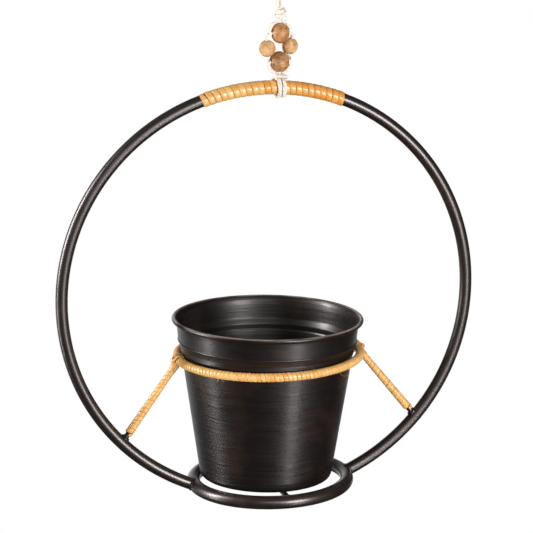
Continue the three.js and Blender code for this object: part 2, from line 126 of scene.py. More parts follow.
# One side of the hanging eye, from the middle knot up to the end knot
EYE_RIGHT = [
    (1.5, 0, -53.5), (1.5, 0, -50), (1.6, 0, -46), (2.3, 0, -42), (4.2, 0, -37.5),
    (6.9, 0, -32.3), (9, 0, -26.8), (9.7, 0, -21), (9.2, 0, -15.8), (7.5, 0, -11),
    (5, 0, -7), (2.9, 0, -3.6), (1.7, 0, -1.6), (1.6, 0, 0),
]
# One side of the hitch: across, degrees from the front up over the bound hoop, and lift off it
HITCH_LEG = [
    (1.9, 65, 0), (1.9, 35, 0), (1.9, 0, 0), (1.95, -35, 0), (2.1, -70, 0), (2.4, -105, 0), (2.9, -140, 0),
    (3.5, -175, 0), (4.2, -210, 0), (4.8, -240, 0.1), (5.1, -267, 0.4), (4.8, -288, 1.7), (2.8, -294, 3.1),
]
HITCH_TOP = (0, -294, 3.3)
# The end of a leg, under its strand, from the middle of the bound hoop
HITCH_END = [(1.9, 0.2, 9.23), (1.8, -0.1, 7.73)]


def linear(colour):
    """An sRGB hex colour such as #2A2422 as linear red, green and blue."""
    channels = [int(colour[i:i + 2], 16) / 255 for i in (1, 3, 5)]
    return tuple(c / 12.92 if c <= 0.04045 else ((c + 0.055) / 1.055) ** 2.4 for c in channels)


def length(name, value, description):
    """A size in the panel, given here in millimetres."""
    return FloatProperty(
        name=name, description=description, default=value * MM, min=0, unit="LENGTH", precision=5)


def angular(name, value, description):
    """An angle in the panel, given here in degrees."""
    return FloatProperty(name=name, description=description, default=math.radians(value), subtype="ANGLE")


def tint(name, colour, description):
    """A colour in the panel, given here as sRGB hex."""
    return FloatVectorProperty(
        name=name, description=description, default=linear(colour), size=3, min=0, max=1, subtype="COLOR")


class PLANTER_PG_hoop(bpy.types.PropertyGroup):
    """Sizes of the hoop, the base ring and the arms"""

    radius: length("Hoop radius", 170.4, "Radius of the hoop at the middle of its tube")
    tube: length("Hoop tube", 10.0, "Outside diameter of the hoop's tube")
    base_radius: length("Base ring radius", 63.7, "Radius of the base ring at the middle of its tube")
    base_tube: length("Base ring tube", 11.0, "Outside diameter of the base ring's tube")
    bar: length("Crossbar", 4.8, "Diameter of the bar that carries the pot")
    bar_rise: length("Crossbar rise", 1.4, "Height of the bar's middle above the base ring's")
    arm: length("Arm rod", 4.5, "Diameter of the two arms")
    arm_bare: length("Bare arm", 3.0, "Length of each arm that no cane covers, next to the hoop")
    arm_left: angular("Left arm's foot", 133.1, "From the hoop's top to the foot of the left arm")
    arm_right: angular("Right arm's foot", 132.2, "From the hoop's top to the foot of the right arm")
    drop: length("Hang drop", 112.25, "From the hook down to the top of the bound hoop")
    offset: length("Hitch offset", 12.6, "From the hoop's top to the place where the cord holds it")
    weld: length("Weld bead", 2.4, "Width of the weld beads")


class PLANTER_PG_pot(bpy.types.PropertyGroup):
    """Sizes of the pot and the ring round it"""

    rim_radius: length("Rim radius", 77.0, "Radius of the rim at the middle of its rolled bead")
    rim_bead: length("Rim bead", 3.4, "Diameter of the rolled bead at the rim")
    foot_radius: length("Foot radius", 54.1, "Outside radius at the foot")
    foot_corner: length("Foot corner", 3.2, "Radius of the corner at the foot")
    body_height: length("Body height", 105.6, "Height of the tapered body")
    step: length("Step", 1.2, "Height of the step from the body out to the band")
    band_height: length("Band height", 3.8, "Height of the plain band over the body")
    cove: length("Cove", 4.7, "Height of the hollow between band and collar")
    collar_height: length("Collar height", 12.0, "Height of the collar under the rim")
    rim_height: length("Rim height", 7.5, "From the top of the collar to the top of the rim")
    wall: length("Sheet", 0.9, "Thickness of the sheet")
    ring_rod: length("Ring rod", 5.2, "Diameter of the rod of the pot ring")
    ring_drop: length("Ring drop", 3.05, "From the band's foot down to the middle of the pot ring")
    ring_gap: length("Ring gap", 1.25, "Gap between the bound ring and the body")
    lean: angular("Lean", 1.5, "How far the pot leans to the right in its ring")
    shift: length("Shift", 1.1, "How far the pot stands to the left in its ring")


class PLANTER_PG_cane(bpy.types.PropertyGroup):
    """Sizes of the cane bindings"""

    thickness: length("Strip thickness", 0.5, "Thickness of the cane strip at its edges")
    crown: length("Strip crown", 0.2, "Rise of the strip's glossy face over its edges")
    hoop_pitch: length("Pitch on the hoop", 5.2, "From turn to turn on the hoop")
    hoop_turns: IntProperty(
        name="Turns on the hoop", description="Turns of cane round the hoop", default=23, min=1)
    hoop_start: angular("Start on the hoop", -17.6, "From the hoop's top to the start of the binding")
    arm_pitch: length("Pitch on the arms", 4.0, "From turn to turn on the arms")
    ring_turns: IntProperty(
        name="Turns on the ring", description="Turns of cane round the pot ring", default=134, min=8)
    lashing: length("Lashing strip", 3.1, "Width of the strips that lash the arms to the ring")


class PLANTER_PG_cord(bpy.types.PropertyGroup):
    """Sizes of the cord, its knots and its beads"""

    diameter: length("Cord", 2.6, "Diameter of the cotton cord")
    lay: length("Lay", 12.5, "Length of one whole turn of the two plies")
    hitch_x: length("Hitch place", 0.2, "How far the hitch sits to the right of the hook")
    knot_radius: length("Knot radius", 5.0, "Radius of the two knots")
    hole_pair: length("Wide hole", 6.2, "Hole of the two brown beads, which take both cords")
    hole_single: length("Narrow hole", 4.0, "Hole of the two pale beads, which take one cord")


class PLANTER_PG_colours(bpy.types.PropertyGroup):
    """Colours of the finishes"""

    paint: tint("Paint", "#190F0B", "Black paint of hoop, rings and arms")
    paint_light: tint("Paint, dry", "#1E140F", "Drier patches of the same paint")
    rub: tint("Paint, rubbed", "#3A2417", "Brown tone where the paint is handled")
    pot: tint("Pot paint", "#090403", "Black paint of the pot")
    pot_light: tint("Pot paint, lines", "#130A07", "Turning lines in the pot's paint")
    # The rim's crest: bare metal where the paint is worn, and a painted highlight of light from above
    pot_rim_wear_and_highlight: tint("Pot rim, rubbed and highlit", "#A8988A", "Crest of the rim where the paint is gone, and a painted highlight")
    cane_pale: tint("Pale cane", "#E7BB72", "Cane at the left of the hoop")
    cane_orange: tint("Orange cane", "#DC9032", "Cane at the right of the hoop")
    cane_seam: tint("Cane edge", "#A8692A", "Edges and fibres of the cane")
    cotton: tint("Cotton", "#E8E2D7", "Natural cotton")
    cotton_shade: tint("Cotton, shaded", "#D5C8B5", "Cotton between the plies")
    brown_wood: tint("Brown wood", "#CA935C", "The upper bead")
    brown_grain: tint("Brown grain", "#7D5029", "Grain of the upper bead")
    olive_wood: tint("Olive wood", "#C0925E", "The lower bead")
    olive_grain: tint("Olive grain", "#6B4A2E", "Grain of the lower bead")
    pale_wood: tint("Pale wood", "#E1BB8A", "The two pale beads")
    pale_grain: tint("Pale grain", "#A9753F", "Grain of the pale beads")


def places():
    """Where the pieces are, in metres in the frame of the planter, from the sizes in the panel."""
    scene = bpy.context.scene
    hoop, pot, cane, cord = scene.planter_hoop, scene.planter_pot, scene.planter_cane, scene.planter_cord
    bound = hoop.tube / 2 + CANE_SEAT + cane.thickness
    tilt = math.asin(hoop.offset / hoop.radius)
    hitch = np.array([cord.hitch_x, 0, -hoop.drop - bound])
    centre = hitch - np.array([hoop.offset, 0, hoop.radius * math.cos(tilt)])
    base_z = centre[2] - math.sqrt(hoop.radius ** 2 - hoop.base_radius ** 2)
    bar_z = base_z + hoop.bar_rise
    pot_z = bar_z + hoop.bar / 2 + POT_SEAT
    band_radius = pot.rim_radius - BAND_INSET
    body_top = band_radius - BODY_INSET
    ring_height = pot.body_height + pot.step - pot.ring_drop
    share = ring_height / pot.body_height
    body_radius = pot.foot_radius * (1 - share) + body_top * share
    ring_inner = pot.ring_rod / 2 + ROD_SEAT
    ring_radius = body_radius + pot.ring_gap + ring_inner + cane.thickness + RING_PLAY
    pot_x = -pot.shift - ring_height * math.sin(pot.lean)
    stand = Matrix.Translation((centre[0] + pot_x, 0, pot_z - pot_x * math.tan(pot.lean)))
    return SimpleNamespace(
        hoop=hoop, pot=pot, cane=cane, cord=cord, bound=bound, hitch=hitch, centre=centre,
        base=np.array([centre[0], 0, base_z]), bar=np.array([centre[0], 0, bar_z]),
        pot_place=stand @ Matrix.Rotation(pot.lean, 4, "Y"), band_radius=band_radius, body_top=body_top,
        ring_inner=ring_inner, ring_radius=ring_radius, ring=np.array([centre[0], 0, pot_z + ring_height]))


def corners(node):
    """Lowest and highest corner of a solid."""
    return [np.array(corner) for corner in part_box(node)]


# ---------------------------------------------------------------- meshes


def distances(points):
    """Distance along a line through points, up to each of them."""
    return np.concatenate([[0], np.cumsum(np.linalg.norm(np.diff(points, axis=0), axis=1))])


class Shell:
    """Skins through rings of points, gathered into one mesh."""

    def __init__(self):
        self.points = []
        self.faces = []
        self.uvs = []
        self.count = 0

    def add(self, rings, closed=False, run=None):
        """Adds a skin through rings of points: closed on itself, or capped at its two ends."""
        rings = np.asarray(rings, float)
        count, sides = rings.shape[:2]
        if run is None:
            run = distances(rings.mean(1))
        run = np.append(run, 2 * run[-1] - run[-2])
        spans = count if closed else count - 1
        i, j = [a.ravel() for a in np.meshgrid(np.arange(spans), np.arange(sides), indexing="ij")]
        here, there = self.count + i * sides, self.count + ((i + 1) % count) * sides
        after = (j + 1) % sides
        self.faces += np.stack([here + j, here + after, there + after, there + j], 1).tolist()
        corner = np.stack([run[i], j / sides, run[i], (j + 1) / sides,
                           run[i + 1], (j + 1) / sides, run[i + 1], j / sides], 1)
        self.uvs.append(corner.reshape(-1, 2))
        if not closed:
            first = self.count + np.arange(sides)
            last = first + (count - 1) * sides
            self.faces += [first[::-1].tolist(), last.tolist()]
            for end in (run[0], run[count - 1]):
                self.uvs.append(np.column_stack([np.full(sides, end), np.full(sides, 0.25)]))
        self.points.append(rings.reshape(-1, 3))
        self.count += count * sides
        return self

    def piece(self, name, material, body=None, slot=None, replaces=(), place=None):
        """Makes the object, with its material, body and the solids that it stands for; the slot is not used.
        """
        mesh = bpy.data.meshes.new(name)
        mesh.from_pydata(np.vstack(self.points).tolist(), [], self.faces)
        layer = mesh.uv_layers.new(name="run")
        layer.data.foreach_set("uv", np.vstack(self.uvs).astype(np.float32).ravel())
        work = bmesh.new()
        work.from_mesh(mesh)
        bmesh.ops.recalc_face_normals(work, faces=work.faces)
        work.to_mesh(mesh)
        work.free()
        mesh.shade_smooth()
        mesh.set_sharp_from_angle(angle=CRISP_EDGE)
        mesh.materials.append(material)
        made = bpy.data.objects.new(name, mesh)
        bpy.context.scene.collection.objects.link(made)
        if place is not None:
            made.matrix_world = place
        if body:
            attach(made, body)
        if replaces:
            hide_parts(*replaces)
        return made


def unit(vectors):
    """Vectors at length 1."""
    return vectors / np.linalg.norm(vectors, axis=-1, keepdims=True)


def circle(radius, sides):
    """Across and up of the points of a circle."""
    angle = np.arange(sides) * 2 * np.pi / sides
    return np.column_stack([radius * np.cos(angle), radius * np.sin(angle)])


def smooth_route(points, step):
    """Points about every step metres along a smooth curve through the given points."""
    points = np.asarray(points, float)
    ends = np.vstack([2 * points[0] - points[1], points, 2 * points[-1] - points[-2]])
    drawn = []
    for a, b, c, d in zip(ends, ends[1:], ends[2:], ends[3:]):
        t1 = np.linalg.norm(b - a) ** 0.5
        t2 = t1 + np.linalg.norm(c - b) ** 0.5
        t3 = t2 + np.linalg.norm(d - c) ** 0.5
        t = np.linspace(t1, t2, 24, endpoint=False)[:, None]
        ab = (t1 - t) / t1 * a + t / t1 * b
        bc = (t2 - t) / (t2 - t1) * b + (t - t1) / (t2 - t1) * c
        cd = (t3 - t) / (t3 - t2) * c + (t - t2) / (t3 - t2) * d
        abc = (t2 - t) / t2 * ab + t / t2 * bc
        bcd = (t3 - t) / (t3 - t1) * bc + (t - t1) / (t3 - t1) * cd
        drawn.append((t2 - t) / (t2 - t1) * abc + (t - t1) / (t2 - t1) * bcd)
    drawn = np.vstack(drawn + [points[-1:]])
    run = distances(drawn)
    even = np.linspace(0, run[-1], max(3, round(run[-1] / step) + 1))
    return np.column_stack([np.interp(even, run, drawn[:, k]) for k in range(3)])


def carried(points, first):
    """Two directions square to a route at each point, carried along it without twist."""
    tangents = unit(np.gradient(points, axis=0))
    firsts = np.empty_like(points)
    current = np.asarray(first, float)
    for i, tangent in enumerate(tangents):
        current = current - tangent * current.dot(tangent)
        current = current / np.linalg.norm(current)
        firsts[i] = current
    return firsts, np.cross(tangents, firsts)


def sweep(points, section, firsts, seconds, scale=None):
    """Rings of a section carried along points."""
    scale = np.ones(len(points)) if scale is None else scale
    across = section[None, :, 0, None] * firsts[:, None, :] + section[None, :, 1, None] * seconds[:, None, :]
    return points[:, None, :] + across * scale[:, None, None]


def straight_rod(start, end, radius, steps, sides=24):
    """Rings of a straight rod."""
    points = np.linspace(start, end, steps + 1)
    across = (0, 1, 0) if abs(end[1] - start[1]) < 1e-6 else (1, 0, 0)
    return sweep(points, circle(radius, sides), *carried(points, across))


def turned(profile, segments, centre=(0, 0, 0)):
    """Rings of a profile of radius and height turned about the vertical."""
    profile = np.asarray(profile, float)
    angle = np.arange(segments) * 2 * np.pi / segments
    radius, height = profile[:, :1], profile[:, 1:]
    rings = [radius * np.cos(angle), radius * np.sin(angle), np.repeat(height, segments, 1)]
    return np.stack(rings, 2) + np.asarray(centre)


def rounded(profile, radius, steps=4):
    """A profile whose inner corners are rounded off."""
    profile = [np.asarray(point, float) for point in profile]
    drawn = [profile[0]]
    for before, corner, after in zip(profile, profile[1:], profile[2:]):
        back, ahead = before - corner, after - corner
        reach = min(radius, 0.45 * np.linalg.norm(back), 0.45 * np.linalg.norm(ahead))
        start = corner + back / np.linalg.norm(back) * reach
        end = corner + ahead / np.linalg.norm(ahead) * reach
        for t in np.linspace(0, 1, steps + 1):
            drawn.append((1 - t) ** 2 * start + 2 * t * (1 - t) * corner + t * t * end)
    return drawn + [profile[-1]]


def arc_rings(centre, radius, tube, start, end, steps, sides, upright):
    """Rings of a tube along an arc: upright from the top towards +X, or flat from +X towards +Y."""
    angle = np.linspace(start, end, steps + 1)
    zero = np.zeros_like(angle)
    if upright:
        out, aside = [np.sin(angle), zero, np.cos(angle)], [0.0, -1.0, 0.0]
    else:
        out, aside = [np.cos(angle), np.sin(angle), zero], [0.0, 0.0, -1.0]
    out = np.column_stack(out)
    return sweep(centre + radius * out, circle(tube / 2, sides), out, np.tile(aside, (steps + 1, 1)))


def flat_ring(centre, radius, tube, sides):
    """Rings of a flat ring of tube, which closes on itself."""
    return arc_rings(centre, radius, tube, 0, 2 * np.pi, 160, sides, upright=False)[:-1]


def off_tube(centre, radius, tube, axes):
    """A function for the distance off a ring of tube, which lies in the first two of the axes."""
    def off(points):
        first, second, across = (points - centre)[:, axes].T
        return np.hypot(np.hypot(first, second) - radius, across) - tube / 2
    return off


def arm_line(at, side):
    """Foot, direction and length of an arm, from the hoop to the pot ring."""
    turn = at.hoop.arm_right if side > 0 else -at.hoop.arm_left
    foot = at.centre + at.hoop.radius * np.array([math.sin(turn), 0, math.cos(turn)])
    head = at.ring + np.array([at.ring_radius * side, 0, 0])
    span = np.linalg.norm(head - foot)
    return foot, (head - foot) / span, span


# ---------------------------------------------------------------- cane


def strip_outline(width, thickness, crown):
    """Across and lift of a cane strip: a crowned glossy face with rounded edges on a flat back."""
    across = np.array([-1, -0.93, -0.7, -0.35, 0, 0.35, 0.7, 0.93, 1])
    lift = thickness * np.array([0.55, 0.92, 1, 1, 1, 1, 1, 0.92, 0.55]) + crown * (1 - across ** 2)
    face = np.column_stack([across * width / 2, lift])
    return np.vstack([face, [[width * 0.46, 0], [-width * 0.46, 0]]])


def wind(place, start, pitch, turns, steps, inner, outline, seed, gap_after=None, swell=(0, 0)):
    """Rings of one strip wound round a core, with the small unevenness of work by hand."""
    # How far a turn may stray, as a share of the pitch, and rise or tilt, in millimetres
    wander, most_rise, most_tilt = 0.03, 0.07, 0.05
    # The gap that may follow a turn, as a share of the pitch
    gap = 0.07
    # The strip's ends are tucked in: they start narrower and lower, and are full after this share of a turn
    tucked, narrow, low = 0.3, 0.55, 0.6
    rng = np.random.default_rng(seed)
    turn = np.arange(turns * steps + 1) / steps
    knots = np.arange(turns + 1)
    shift = np.interp(turn, knots, rng.uniform(-wander, wander, turns + 1) * pitch)
    rise = np.interp(turn, knots, rng.uniform(0, most_rise, turns + 1) * MM)
    tilt = np.interp(turn, knots, rng.uniform(-most_tilt, most_tilt, turns + 1) * MM)
    if gap_after is not None:
        shift += np.clip(turn - gap_after, 0, 1) * gap * pitch
    full = np.clip(np.minimum(turn, turns - turn) / tucked, 0, 1)
    width = outline[:, 0][None, :] * (narrow + (1 - narrow) * full)[:, None]
    origin, first, second = place((start + pitch * turn + shift)[:, None] + width)
    lift = inner + outline[:, 1][None, :] * (low + (1 - low) * full)[:, None]
    lift = lift + (rise + np.linspace(*swell, len(turn)))[:, None]
    lift = lift + tilt[:, None] * width / abs(outline[:, 0]).max()
    angle = (2 * np.pi * turn)[:, None, None]
    return origin + (first * np.cos(angle) + second * np.sin(angle)) * lift[:, :, None], turn


def on_hoop(at):
    """Places on the hoop's middle line, by the length from its top."""
    def place(along):
        angle = along / at.hoop.radius
        out = np.stack([np.sin(angle), np.zeros_like(angle), np.cos(angle)], -1)
        return at.centre + at.hoop.radius * out, out, np.array([0.0, -1.0, 0.0])
    return place


def on_ring(at):
    """Places on the pot ring's middle line, by the length from its left end."""
    def place(along):
        angle = along / at.ring_radius + np.pi
        out = np.stack([np.cos(angle), np.sin(angle), np.zeros_like(angle)], -1)
        return at.ring + at.ring_radius * out, out, np.array([0.0, 0.0, -1.0])
    return place


def on_arm(at, side):
    """Places on an arm's middle line, by the length from its foot."""
    foot, direction, _ = arm_line(at, side)
    first = np.array([0.0, -1.0, 0.0])
    second = np.cross(direction, first)

    def place(along):
        return foot + direction * along[..., None], first, second
    return place


def ribbon(keys, outline, step=0.7 * MM):
    """Rings of a strip laid through points, each given with the way its glossy face looks."""
    points = smooth_route([point for point, _ in keys], step)
    run = distances([point for point, _ in keys])
    share = np.linspace(0, 1, len(points)) * run[-1]
    raw = np.array([look for _, look in keys], float)
    looks = np.column_stack([np.interp(share, run, raw[:, k]) for k in range(3)])
    tangents = unit(np.gradient(points, axis=0))
    looks = unit(looks - tangents * (looks * tangents).sum(1)[:, None])
    return sweep(points, outline, np.cross(looks, tangents), looks)


# ---------------------------------------------------------------- cord


def plied(points, diameter, lay, firsts, seconds, wide=1.0, thick=1.0):
    """Rings of a cord of two soft plies twisted along points; wide and thick flatten it."""
    outer = diameter / 2
    apart, ply = 0.25 * outer, 0.75 * outer
    angle = np.arange(28) * 2 * np.pi / 28
    radius = apart * abs(np.cos(angle)) + np.sqrt(ply ** 2 - (apart * np.sin(angle)) ** 2)
    run = distances(points)
    theta = angle[None, :] + (2 * np.pi * run / lay)[:, None]
    across = (radius * np.cos(theta) * wide)[:, :, None] * firsts[:, None, :]
    up = (radius * np.sin(theta) * thick)[:, :, None] * seconds[:, None, :]
    return points[:, None, :] + across + up, run


def knot_rings(centre, radius, height, diameter, lay, lean):
    """Rings of a tight knot: both cords wound round inside it, and one turn laid slanting over them."""
    inner, turns, slant = 1.4 * MM, 1.5, 0.34
    middle = radius - diameter / 2
    share = np.linspace(0, 1, 90)
    routes = []
    for start in (0.0, np.pi):
        angle = start + lean + share * turns * 2 * np.pi
        reach = inner + (middle - inner) * np.sin(np.pi * share) ** 0.6
        routes.append(centre + np.column_stack([
            reach * np.cos(angle), reach * np.sin(angle), (share - 0.5) * (height - diameter * 0.4)]))
    angle = np.linspace(0, 2 * np.pi, 72)
    over = middle * 1.04
    routes.append(centre + np.column_stack([
        over * np.cos(angle), over * np.sin(angle), middle * slant * 2 * np.cos(angle - lean)]))
    return [plied(route, diameter, lay, *carried(route, (0, 0, 1))) for route in routes]


# ---------------------------------------------------------------- finishes


def connect(tree, node, inputs):
    """Sets a node's sockets, each to a value, to another node's result or to one of its outputs."""
    for key, value in inputs.items():
        if isinstance(value, bpy.types.Node):
            value = next(socket for socket in value.outputs if socket.enabled)
        if isinstance(value, bpy.types.NodeSocket):
            tree.links.new(value, node.inputs[key])
        elif node.inputs[key].type == "RGBA":
            node.inputs[key].default_value = (*value, 1)
        else:
            node.inputs[key].default_value = value


def add(tree, kind, inputs=None, **settings):
    """Adds a node with its settings and links.

    Map Range takes its value at 0, the range it comes from at 1 and 2 and the range it goes to at 3 and 4.
    Mix takes its share at 0, two values at 2 and 3, and two colours at 6 and 7.
    """
    made = tree.nodes.new("ShaderNode" + kind)
    for key, value in settings.items():
        setattr(made, key, value)
    connect(tree, made, inputs or {})
    return made


def finish(name, build):
    """The material of that name, made when it is first asked for from what build says of its shader."""
    made = bpy.data.materials.get(name)
    if made is None:
        made = bpy.data.materials.new(name)
        made.use_nodes = True
        tree = made.node_tree
        connect(tree, tree.nodes["Principled BSDF"], build(tree, bpy.context.scene.planter_colours))
    return made


def powder_coat(tree, colours):
    """Powder coat on mild steel, baked: satin, with a slight orange peel and drier, browner patches."""
    place = add(tree, "TexCoord").outputs["Object"]
    patches = add(tree, "TexNoise", {"Vector": place, "Scale": 1 / (14 * MM), "Detail": 5.0})
    rubbed = add(tree, "TexNoise", {"Vector": place, "Scale": 1 / (31 * MM), "Detail": 7.0, "Roughness": 0.7})
    dry = add(tree, "MapRange", {0: patches, 1: 0.38, 2: 0.68})
    worn = add(tree, "MapRange", {0: rubbed, 1: 0.52, 2: 0.72, 4: 0.75})
    coat = add(tree, "Mix", {0: dry, 6: colours.paint, 7: colours.paint_light}, data_type="RGBA")
    brown = add(tree, "Mix", {0: worn, 6: coat, 7: colours.rub}, data_type="RGBA")
    # Orange peel is about 2 mm wide on such tube
    peel = add(tree, "TexNoise", {"Vector": place, "Scale": 1 / (2.4 * MM), "Detail": 1.0})
    bump = add(tree, "Bump", {"Strength": 0.1, "Distance": 0.01 * MM, "Height": peel})
    gloss = add(tree, "MapRange", {0: patches, 1: 0.3, 2: 0.7, 3: 0.34, 4: 0.4})
    return {"Base Color": brown, "Roughness": gloss, "Normal": bump, "Specular IOR Level": 0.9,
            "Coat Weight": 0.7, "Coat Roughness": 0.28}


def spun_paint(tree, colours):
    """Satin paint on spun sheet steel: the spinning tool's lines run round the pot and show through it."""
    place = add(tree, "TexCoord").outputs["Object"]
    # Lines 1 to 5 mm high that fade in and out along a quarter of the way round
    squashed = add(tree, "Mapping", {"Vector": place, "Scale": (0.035, 0.035, 1)})
    broad = add(tree, "TexNoise", {
        "Vector": squashed, "Scale": 1 / (4.6 * MM), "Detail": 4.0, "Roughness": 0.62})
    fine = add(tree, "TexNoise", {
        "Vector": squashed, "Scale": 1 / (1.1 * MM), "Detail": 3.0, "Roughness": 0.7})
    patches = add(tree, "TexNoise", {"Vector": place, "Scale": 1 / (26 * MM), "Detail": 5.0})
    lines = add(tree, "Math", {0: broad, 1: fine}, operation="MULTIPLY")
    shown = add(tree, "MapRange", {0: lines, 1: 0.2, 2: 0.38})
    coat = add(tree, "Mix", {0: shown, 6: colours.pot, 7: colours.pot_light}, data_type="RGBA")
    worn = add(tree, "MapRange", {0: patches, 1: 0.5, 2: 0.72, 4: 0.3})
    brown = add(tree, "Mix", {0: worn, 6: coat, 7: colours.rub}, data_type="RGBA")
    # The paint has gone from the crest of the rim, here and there; the pale tone there is also a painted
    # highlight of light from above
    pot = bpy.context.scene.planter_pot
    top = pot.body_height + pot.step + pot.band_height + pot.cove + pot.collar_height + pot.rim_height
    height = add(tree, "SeparateXYZ", {0: place}).outputs["Z"]
    crest = add(tree, "MapRange", {0: height, 1: top - 1.0 * MM, 2: top - 0.2 * MM, 4: 0.75})
    broken = add(tree, "MapRange", {0: patches, 1: 0.3, 2: 0.55})
    rubbed = add(tree, "Math", {0: crest, 1: broken}, operation="MULTIPLY")
    # Mixes in the worn crest and its painted highlight
    edged = add(tree, "Mix", {0: rubbed, 6: brown, 7: colours.pot_rim_wear_and_highlight}, data_type="RGBA")
    relief = add(tree, "Math", {0: broad, 1: 0.35, 2: fine}, operation="MULTIPLY_ADD")
    bump = add(tree, "Bump", {"Strength": 0.8, "Distance": 0.4 * MM, "Height": broad})
    bump_fine = add(tree, "Bump", {"Strength": 0.4, "Distance": 0.06 * MM, "Height": relief, "Normal": bump})
    gloss = add(tree, "MapRange", {0: shown, 3: 0.42, 4: 0.3})
    return {"Base Color": edged, "Roughness": gloss, "Normal": bump_fine, "Specular IOR Level": 0.7,
            "Coat Weight": 0.2, "Coat Roughness": 0.22}


def peeled_cane(tree, colours):
    """Peeled rattan skin, split and wound damp: a waxy face with fibres along it and darker cut edges."""
    uv = add(tree, "UVMap", uv_map="run")
    along, around = add(tree, "SeparateXYZ", {0: uv}).outputs[:2]
    place = add(tree, "TexCoord").outputs["Object"]
    aside, _, up = add(tree, "SeparateXYZ", {0: place}).outputs
    # One tone for every third of a turn or so, as cane is never even; up on the hoop oranger to the right,
    # and paler low down on the ring and the arms, which is painted light from the front
    slow = add(tree, "Math", {0: along, 1: 0.83}, operation="MULTIPLY")
    tone = add(tree, "TexNoise", {"W": slow, "Scale": 1.6, "Detail": 2.0}, noise_dimensions="1D")
    lean = add(tree, "MapRange", {0: aside, 1: -65 * MM, 2: 55 * MM, 3: -0.22, 4: 0.24})
    high = add(tree, "MapRange", {0: up, 1: -250 * MM, 2: -150 * MM})
    # Painted light: the cane low down is made paler, as if the front light fell stronger there
    low = add(tree, "MapRange", {0: up, 1: -150 * MM, 2: -250 * MM, 4: -0.15})
    lean_and_painted_light = add(tree, "Math", {0: lean, 1: high, 2: low}, operation="MULTIPLY_ADD")
    ripe = add(tree, "Math", {0: tone, 1: lean_and_painted_light}, operation="ADD")
    shade = add(tree, "MapRange", {0: ripe, 1: 0.22, 2: 0.78})
    body = add(tree, "Mix", {0: shade, 6: colours.cane_pale, 7: colours.cane_orange}, data_type="RGBA")
    # Fibres 0.4 mm wide and about 15 mm long
    fibres = add(tree, "Mapping", {"Vector": uv, "Scale": (1.6, 15, 1)})
    streak = add(tree, "TexNoise", {"Vector": fibres, "Scale": 1.0, "Detail": 4.0, "Roughness": 0.6})
    dark = add(tree, "MapRange", {0: streak, 1: 0.52, 2: 0.8, 4: 0.25})
    streaked = add(tree, "Mix", {0: dark, 6: body, 7: colours.cane_seam}, data_type="RGBA")
    # Round the strip its face goes from 0 to 0.73, with a cut edge at either end, and the rest is its back
    off = add(tree, "Math", {0: around, 1: 0.364}, operation="SUBTRACT")
    reach = add(tree, "Math", {0: off}, operation="ABSOLUTE")
    edge = add(tree, "MapRange", {0: reach, 1: 0.28, 2: 0.35, 4: 0.5})
    edged = add(tree, "Mix", {0: edge, 6: streaked, 7: colours.cane_seam}, data_type="RGBA")
    bump = add(tree, "Bump", {"Strength": 0.2, "Distance": 0.04 * MM, "Height": streak})
    gloss = add(tree, "MapRange", {0: streak, 1: 0.3, 2: 0.7, 3: 0.32, 4: 0.45})
    return {"Base Color": edged, "Roughness": gloss, "Normal": bump,
            "Coat Weight": 0.8, "Coat Roughness": 0.23}


def twisted_cotton(tree, colours):
    """Natural cotton, spun and twisted in two plies: matt, a little hairy, and shaded between the plies."""
    uv = add(tree, "UVMap", uv_map="run")
    along, around = add(tree, "SeparateXYZ", {0: uv}).outputs[:2]
    # The plies meet at a quarter and three quarters of the way round
    twice = add(tree, "Math", {0: around, 1: 4 * math.pi}, operation="MULTIPLY")
    wave = add(tree, "Math", {0: twice}, operation="COSINE")
    groove = add(tree, "MapRange", {0: wave, 1: -0.3, 2: -1.0, 4: 0.6})
    # Yarns lie at a slant, 0.45 mm apart, drawn twice as coarse as they are
    slant = add(tree, "Math", {0: along, 1: 2 * math.pi / (0.9 * MM), 2: twice}, operation="MULTIPLY_ADD")
    yarn = add(tree, "Math", {0: slant}, operation="SINE")
    place = add(tree, "TexCoord").outputs["Object"]
    fluff = add(tree, "TexNoise", {"Vector": place, "Scale": 1 / (0.7 * MM), "Detail": 3.0})
    uneven = add(tree, "Math", {0: fluff, 1: 0.55, 2: groove}, operation="MULTIPLY_ADD")
    shade = add(tree, "MapRange", {0: uneven, 1: 0.25, 2: 1.3})
    tone = add(tree, "Mix", {0: shade, 6: colours.cotton, 7: colours.cotton_shade}, data_type="RGBA")
    height = add(tree, "Math", {0: yarn, 1: 0.2, 2: fluff}, operation="MULTIPLY_ADD")
    bump = add(tree, "Bump", {"Strength": 0.5, "Distance": 0.1 * MM, "Height": height})
    return {"Base Color": tone, "Normal": bump, "Roughness": 0.92, "Specular IOR Level": 0.2,
            "Sheen Weight": 0.25, "Sheen Roughness": 0.6}


